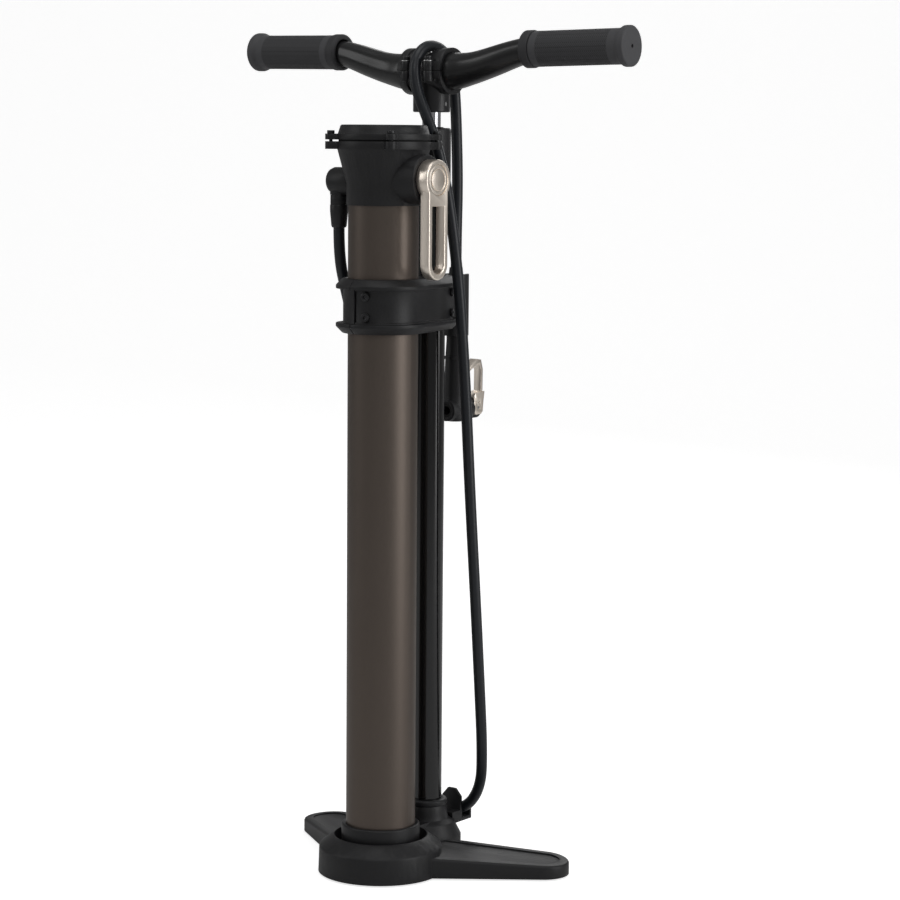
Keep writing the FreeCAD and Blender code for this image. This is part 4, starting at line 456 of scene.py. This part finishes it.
def softCopy(name, node, finishName, body, slot, width):
    item = bpy.data.objects.new(name, nodes[node].data.copy())
    bpy.context.scene.collection.objects.link(item)
    mendMesh(item, rounding["gap"], rounding["flat"])
    applyModifier(item, "BEVEL", width=width * mm, segments=rounding["segments"], limit_method="ANGLE",
                  angle_limit=math.radians(rounding["bend"]), use_clamp_overlap=True,
                  miter_outer="MITER_ARC", harden_normals=False)
    smoothBy(item, rounding["smooth"])
    wear(item, finishName)
    adopt(item, body, slot, node)
    return item


hose = {
    "radius": 0.00485,
    "resolution": 14,
    "rings": 7,
    "gap": 0.00001,
    "smooth": 50,
    "route": [
        (-48, -67.5, 558), (-48, -67.5, 533), (-47.2, -58.5, 503), (-43.8, -46, 460), (-40.5, -33, 400),
        (-37, -18, 330), (-36, -4.5, 250), (-37.6, 9, 170), (-40.5, 21, 106), (-40.5, 31, 62),
        (-18, 37.5, 35), (14, 38, 35), (36, 32.5, 60), (41.8, 25.5, 98), (44, 18, 150), (44, 10.5, 230),
        (41, 4.5, 330), (38, 1, 420), (34.5, -5, 510), (28.5, -12.5, 583), (20.5, -19.5, 630),
        (11.5, -24.5, 656), (3, -27, 677), (0, -26, 699), (0, -11, 713.6), (0, 11, 713.6), (0, 28, 701),
        (0, 34, 679), (0.8, 36.2, 640), (1.6, 37.2, 594), (0, 38, 550), (0, 38, 522),
    ],
}

chuckPieces = []    # what hangs on the hose's far end


def routeCurve(name, radius=0.0):
    line = curveThrough(name, hose["route"], [1.0] * len(hose["route"]), hose)
    line.data.bevel_depth = radius
    return line


def makeHose():
    line = routeCurve("hoseLine")
    bpy.context.view_layer.update()
    sampled = bpy.data.meshes.new_from_object(line)
    bpy.data.meshes.remove(sampled)
    bpy.data.objects.remove(line)
    tube = curveToMesh(routeCurve("hoseTube", hose["radius"]))
    mendMesh(tube, hose["gap"])
    smoothBy(tube, hose["smooth"])
    wear(tube, "hoseRubber")
    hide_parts("hose")
    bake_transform(tube)


bar = {
    "resolution": 6,
    "rings": 14,
    "smooth": 50,
    "stations": [  # along, back, up, radius
        (0, 0, 692, 15.9), (14, 0, 692, 15.9), (25, 0, 692, 15.9), (31, 0.1, 692.35, 15.3),
        (38, 0.2, 693.3, 14.2), (47, 0.3, 695.0, 13.45), (55, 0.4, 697.0, 13.05), (63, 0.5, 699.2, 12.75),
        (71, 0.7, 701.5, 12.45), (79, 0.95, 703.9, 12.0), (87, 1.2, 706.1, 11.55), (95, 1.5, 707.9, 11.2),
        (103, 1.8, 709.1, 11.1), (111, 2.15, 709.7, 11.1), (125, 2.8, 709.95, 11.1), (150, 3.9, 710.3, 11.1),
        (175, 5.05, 710.65, 11.1), (194, 5.9, 710.95, 11.1),
    ],
}


def makeBar():
    right = bar["stations"]
    whole = [(-a, b, c, r) for a, b, c, r in reversed(right[1:])] + right
    line = curveThrough("handlebarTube", [station[:3] for station in whole],
                        [station[3] for station in whole], bar)
    line.data.bevel_depth = mm
    item = curveToMesh(line)
    smoothBy(item, bar["smooth"])
    wear(item, "satinBar")
    adopt(item, "handle", "satin_black_bar", "handlebar")


grip = {
    "start": (109.76, 2.1, 709.67),    # the point of the bar's axis from which the grip is measured
    "sweep": 3.9 / 86.24,              # how far the axis goes back and up along the grip
    "rise": 1.33 / 86.24,
    "low": -2.76,                      # inner end along that axis
    "long": 92.5,
    "radius": 15.0,
    "lip": (1.0, 14.2, 0.8),           # inner end: length, radius and how much it swells
    "flange": (9.5, 4.5, 2.1),         # outer end: length, slope and how much it swells
    "rim": 1.3,
    "rows": 330,
    "columns": 176,
    "capRows": 26,
    "pitch": 1.9,                      # one cell of the knurl
    "depth": 0.34,
    "knurl": (7.0, 16.0),              # plain length at the inner and the outer end
    "fade": 0.6,                       # where the knurl runs out at its ends
    "seam": 0.35,                      # half the plain line between two columns
    "grooveShade": 0.8,                       # how much painted shade darkens the grooves
    "dome": 0.25,
    "domeRate": 4,
    "hole": (1.7, 2.4),                # radius and depth of the vent in the end
    "face": 0.8,                       # share of the cap's rows before the vent
    "gap": 0.000005,
    "smooth": 60,
}


def gripRadius(along):
    end = grip["long"]
    long, slope, swell = grip["flange"]
    if along > end - long:
        t = min(1.0, (along - (end - long)) / slope)
        flange = grip["radius"] + swell * t * t * (3 - 2 * t)
        past = max(0.0, along - (end - grip["rim"]))
        return flange - (grip["rim"] - math.sqrt(max(0.0, grip["rim"] ** 2 - past ** 2)))
    long, radius, swell = grip["lip"]
    if along < long:
        return radius + swell * math.sqrt(max(0.0, 1 - (1 - along / long) ** 2))
    return grip["radius"]


def knurl(along, around):
    low, high = grip["knurl"][0], grip["long"] - grip["knurl"][1]
    if along < low or along > high:
        return 0.0
    edge = min(1.0, (along - low) / grip["fade"], (high - along) / grip["fade"])
    step = grip["pitch"]
    column = math.floor(around / (2 * step))
    lean = 1 if column % 2 == 0 else -1
    across = around - (column + 0.5) * 2 * step
    wave = (along + lean * across) / step
    groove = 0.5 - 0.5 * math.cos(2 * math.pi * wave)
    seam = min(1.0, (step - abs(across)) / grip["seam"])
    return edge * (1 - groove * seam)


# the outer end: a slight dome, then the vent in its middle
def gripCap(share):
    end, face = grip["long"], grip["face"]
    radius, deep = grip["hole"]
    if share < face:
        outer = gripRadius(end)
        along = end + grip["dome"] * math.sin(min(1.0, share * grip["domeRate"]) * math.pi / 2)
        return along, outer + (radius - outer) * share / face
    return end + grip["dome"] - (share - face) / (1 - face) * deep, radius


def makeGrip(name, side, node):
    rows, columns, capRows = grip["rows"], grip["columns"], grip["capRows"]
    clearSelection()
    bpy.ops.mesh.primitive_grid_add(x_subdivisions=rows, y_subdivisions=columns, size=2)
    item = bpy.context.view_layer.objects.active
    item.name = name
    item.data.name = name
    groove = item.data.attributes.new("groove", "FLOAT", "POINT")
    axis = Vector((side, grip["sweep"], grip["rise"])).normalized()
    flat = Vector((0, 0, 1)).cross(axis).normalized()
    upward = axis.cross(flat)
    start = Vector(grip["start"])
    start.x *= side
    pair = 4 * grip["pitch"]
    cells = round(2 * math.pi * grip["radius"] / pair)
    sleeveRows = rows - capRows
    for vertex in item.data.vertices:
        row = round((vertex.co.x + 1) / 2 * rows)
        turn = (vertex.co.y + 1) * math.pi
        if row <= sleeveRows:
            along = row / sleeveRows * grip["long"]
            dip = knurl(along, turn / (2 * math.pi) * cells * pair)
            radius = gripRadius(along) - grip["depth"] * dip
            # painted shade: the knurl's grooves are marked darker, the deeper the cut the darker
            groove.data[vertex.index].value = dip * grip["grooveShade"]
        else:
            along, radius = gripCap((row - sleeveRows) / capRows)
        out = flat * math.cos(turn) + upward * math.sin(turn)
        vertex.co = (start + axis * (grip["low"] + along) + out * radius) * mm
    mendMesh(item, grip["gap"])
    smoothBy(item, grip["smooth"])
    wear(item, "gripRubber")
    adopt(item, "handle", "grip_rubber", node)


dial = {
    "centre": (0, -67.5, 636.52),      # just above the dial's face
    "radius": 30.0,
    "start": 225.0,                    # degrees of the zero mark
    "sweep": 270.0,
    "full": 160,
    "step": 5,
    "numbered": 20,
    "longMark": (4.2, 0.75),           # length and width
    "shortMark": (2.2, 0.35),
    "inset": 8.2,                      # of the numbers, from the rim
    "tall": 4.6,
    "ink": 0.00006,
}


def ontoDial(item, value, reach):
    angle = math.radians(dial["start"] - dial["sweep"] * value / dial["full"])
    cx, cy, cz = dial["centre"]
    item.location = ((cx + reach * math.cos(angle)) * mm, (cy + reach * math.sin(angle)) * mm, cz * mm)
    return angle


def makeDial():
    parts = []
    for value in range(0, dial["full"] + 1, dial["step"]):
        long, wide = dial["shortMark"] if value % dial["numbered"] else dial["longMark"]
        clearSelection()
        bpy.ops.mesh.primitive_plane_add(size=1)
        tick = bpy.context.view_layer.objects.active
        tick.scale = (long * mm, wide * mm, 1)
        tick.rotation_euler = (0, 0, ontoDial(tick, value, dial["radius"] - long / 2))
        settle(tick)
        parts.append(tick)
    for value in range(0, dial["full"] + 1, dial["numbered"]):
        clearSelection()
        bpy.ops.object.text_add()
        word = bpy.context.view_layer.objects.active
        word.data.body = str(value)
        word.data.size = dial["tall"] * mm
        word.data.align_x = "CENTER"
        word.data.align_y = "CENTER"
        ontoDial(word, value, dial["radius"] - dial["inset"])
        word = curveToMesh(word)
        settle(word)
        parts.append(word)
    clearSelection()
    for item in parts:
        item.select_set(True)
    bpy.context.view_layer.objects.active = parts[0]
    bpy.ops.object.join()
    printed = bpy.context.view_layer.objects.active
    printed.name = "dialPrint"
    applyModifier(printed, "SOLIDIFY", thickness=dial["ink"], offset=1)
    wear(printed, "printBlack")
    adopt(printed, "pump", "dial_face")


copies = [  # new piece, node, finish, body, slot, width of its rounded edges
    ("baseShell", "base", "charcoalNylon", "pump", "charcoal_nylon", 0.7),
    ("hoseHook", "hose_guide", "charcoalNylon", "pump", "charcoal_nylon", 0.7),
    ("chamberCollar", "chamber_collar", "charcoalNylon", "pump", "charcoal_nylon", 0.5),
    ("barrelCollar", "barrel_collar", "charcoalNylon", "pump", "charcoal_nylon", 0.3),
    ("barrelCap", "barrel_cap", "charcoalNylon", "pump", "charcoal_nylon", 0.4),
    ("headShell", "head_body", "charcoalNylon", "pump", "charcoal_nylon", 0.5),
    ("gaugeRing", "gauge_cover", "charcoalNylon", "pump", "charcoal_nylon", 0.4),
    ("outletElbow", "hose_elbow", "charcoalNylon", "pump", "charcoal_nylon", 0.3),
    ("outletSwivel", "elbow_swivel", "charcoalNylon", "pump", "charcoal_nylon", 0.25),
    ("hoseFerrule", "hose_ferrule", "blackAlloy", "pump", "black_alloy", 0.3),
    ("bracketLeft", "bracket_left", "charcoalNylon", "pump", "charcoal_nylon", 0.5),
    ("bracketRight", "bracket_right", "charcoalNylon", "pump", "charcoal_nylon", 0.5),
    ("bracketScrews", "bracket_screws", "blackScrew", "pump", "black_screw", 0.6),
    ("flangeScrews", "flange_screws", "blackScrew", "pump", "black_screw", 0.35),
    ("chuckHolster", "chuck_holster", "charcoalNylon", "pump", "charcoal_nylon", 0.5),
    ("stemBlock", "stem", "blackAlloy", "handle", "black_alloy", 0.6),
    ("clampCapLeft", "clamp_cap_left", "blackAlloy", "handle", "black_alloy", 0.5),
    ("clampCapRight", "clamp_cap_right", "blackAlloy", "handle", "black_alloy", 0.5),
    ("clampBolts", "clamp_bolts", "blackScrew", "handle", "black_screw", 0.35),
    ("clampWashers", "clamp_washers", "machinedSteel", "handle", "steel", 0.12),
    ("gripRingRight", "grip_ring_right", "ringRubber", "handle", "charcoal_nylon", 0.3),
    ("gripRingLeft", "grip_ring_left", "ringRubber", "handle", "charcoal_nylon", 0.3),
    ("leverArm", "valve_lever", "nickel", "lever", "nickel", 0.7),
    ("leverDisc", "lever_cap", "nickel", "lever", "nickel", 0.25),
    ("thumbLever", "chuck_lever", "nickel", "thumb_lever", "nickel", 0.9),
    ("chuckShell", "chuck_body", "charcoalNylon", "pump", "charcoal_nylon", 0.6),
]

plainNodes = {  # finish, and the nodes that wear it as they are
    "satinBronze": ["chamber_tube"],
    "glossBlack": ["barrel_tube"],
    "chromeRod": ["piston_rod"],
    "blackScrew": ["chuck_ring"],
    "footRubber": ["foot_pads", "chamber_foot_seal", "chamber_top_seal", "piston_seal", "rod_wiper",
                   "spool_seals", "flange_gasket", "chuck_seal"],
    "machinedSteel": ["base_screws", "check_ball", "check_spring", "piston_nut", "stem_pin",
                      "lever_screw", "lever_pin"],
    "turnedBrass": ["barrel_plug", "valve_spool", "gauge_case", "gauge_movement"],
    "whiteAcetal": ["piston", "rod_bush"],
    "dialWhite": ["gauge_dial"],
    "needleRed": ["gauge_needle"],
    "clearLens": ["gauge_lens"],
}


setCamera()
setStudio()
print("camera and light are set")

chuckPieces += [nodes["chuck_seal"], nodes["chuck_ring"], nodes["lever_pin"]]
for copy in copies:
    piece = softCopy(*copy)
    if piece.name in ("thumbLever", "chuckShell"):
        chuckPieces.append(piece)
print("edges are rounded on %d pieces" % len(copies))

makeHose()
for finishName, names in plainNodes.items():
    for node in names:
        wear(nodes[node], finishName)

makeBar()
makeGrip("gripRight", 1, "grip_right")
makeGrip("gripLeft", -1, "grip_left")
print("handlebar and grips are made")

makeDial()
print("gauge is printed")

clearSelection()
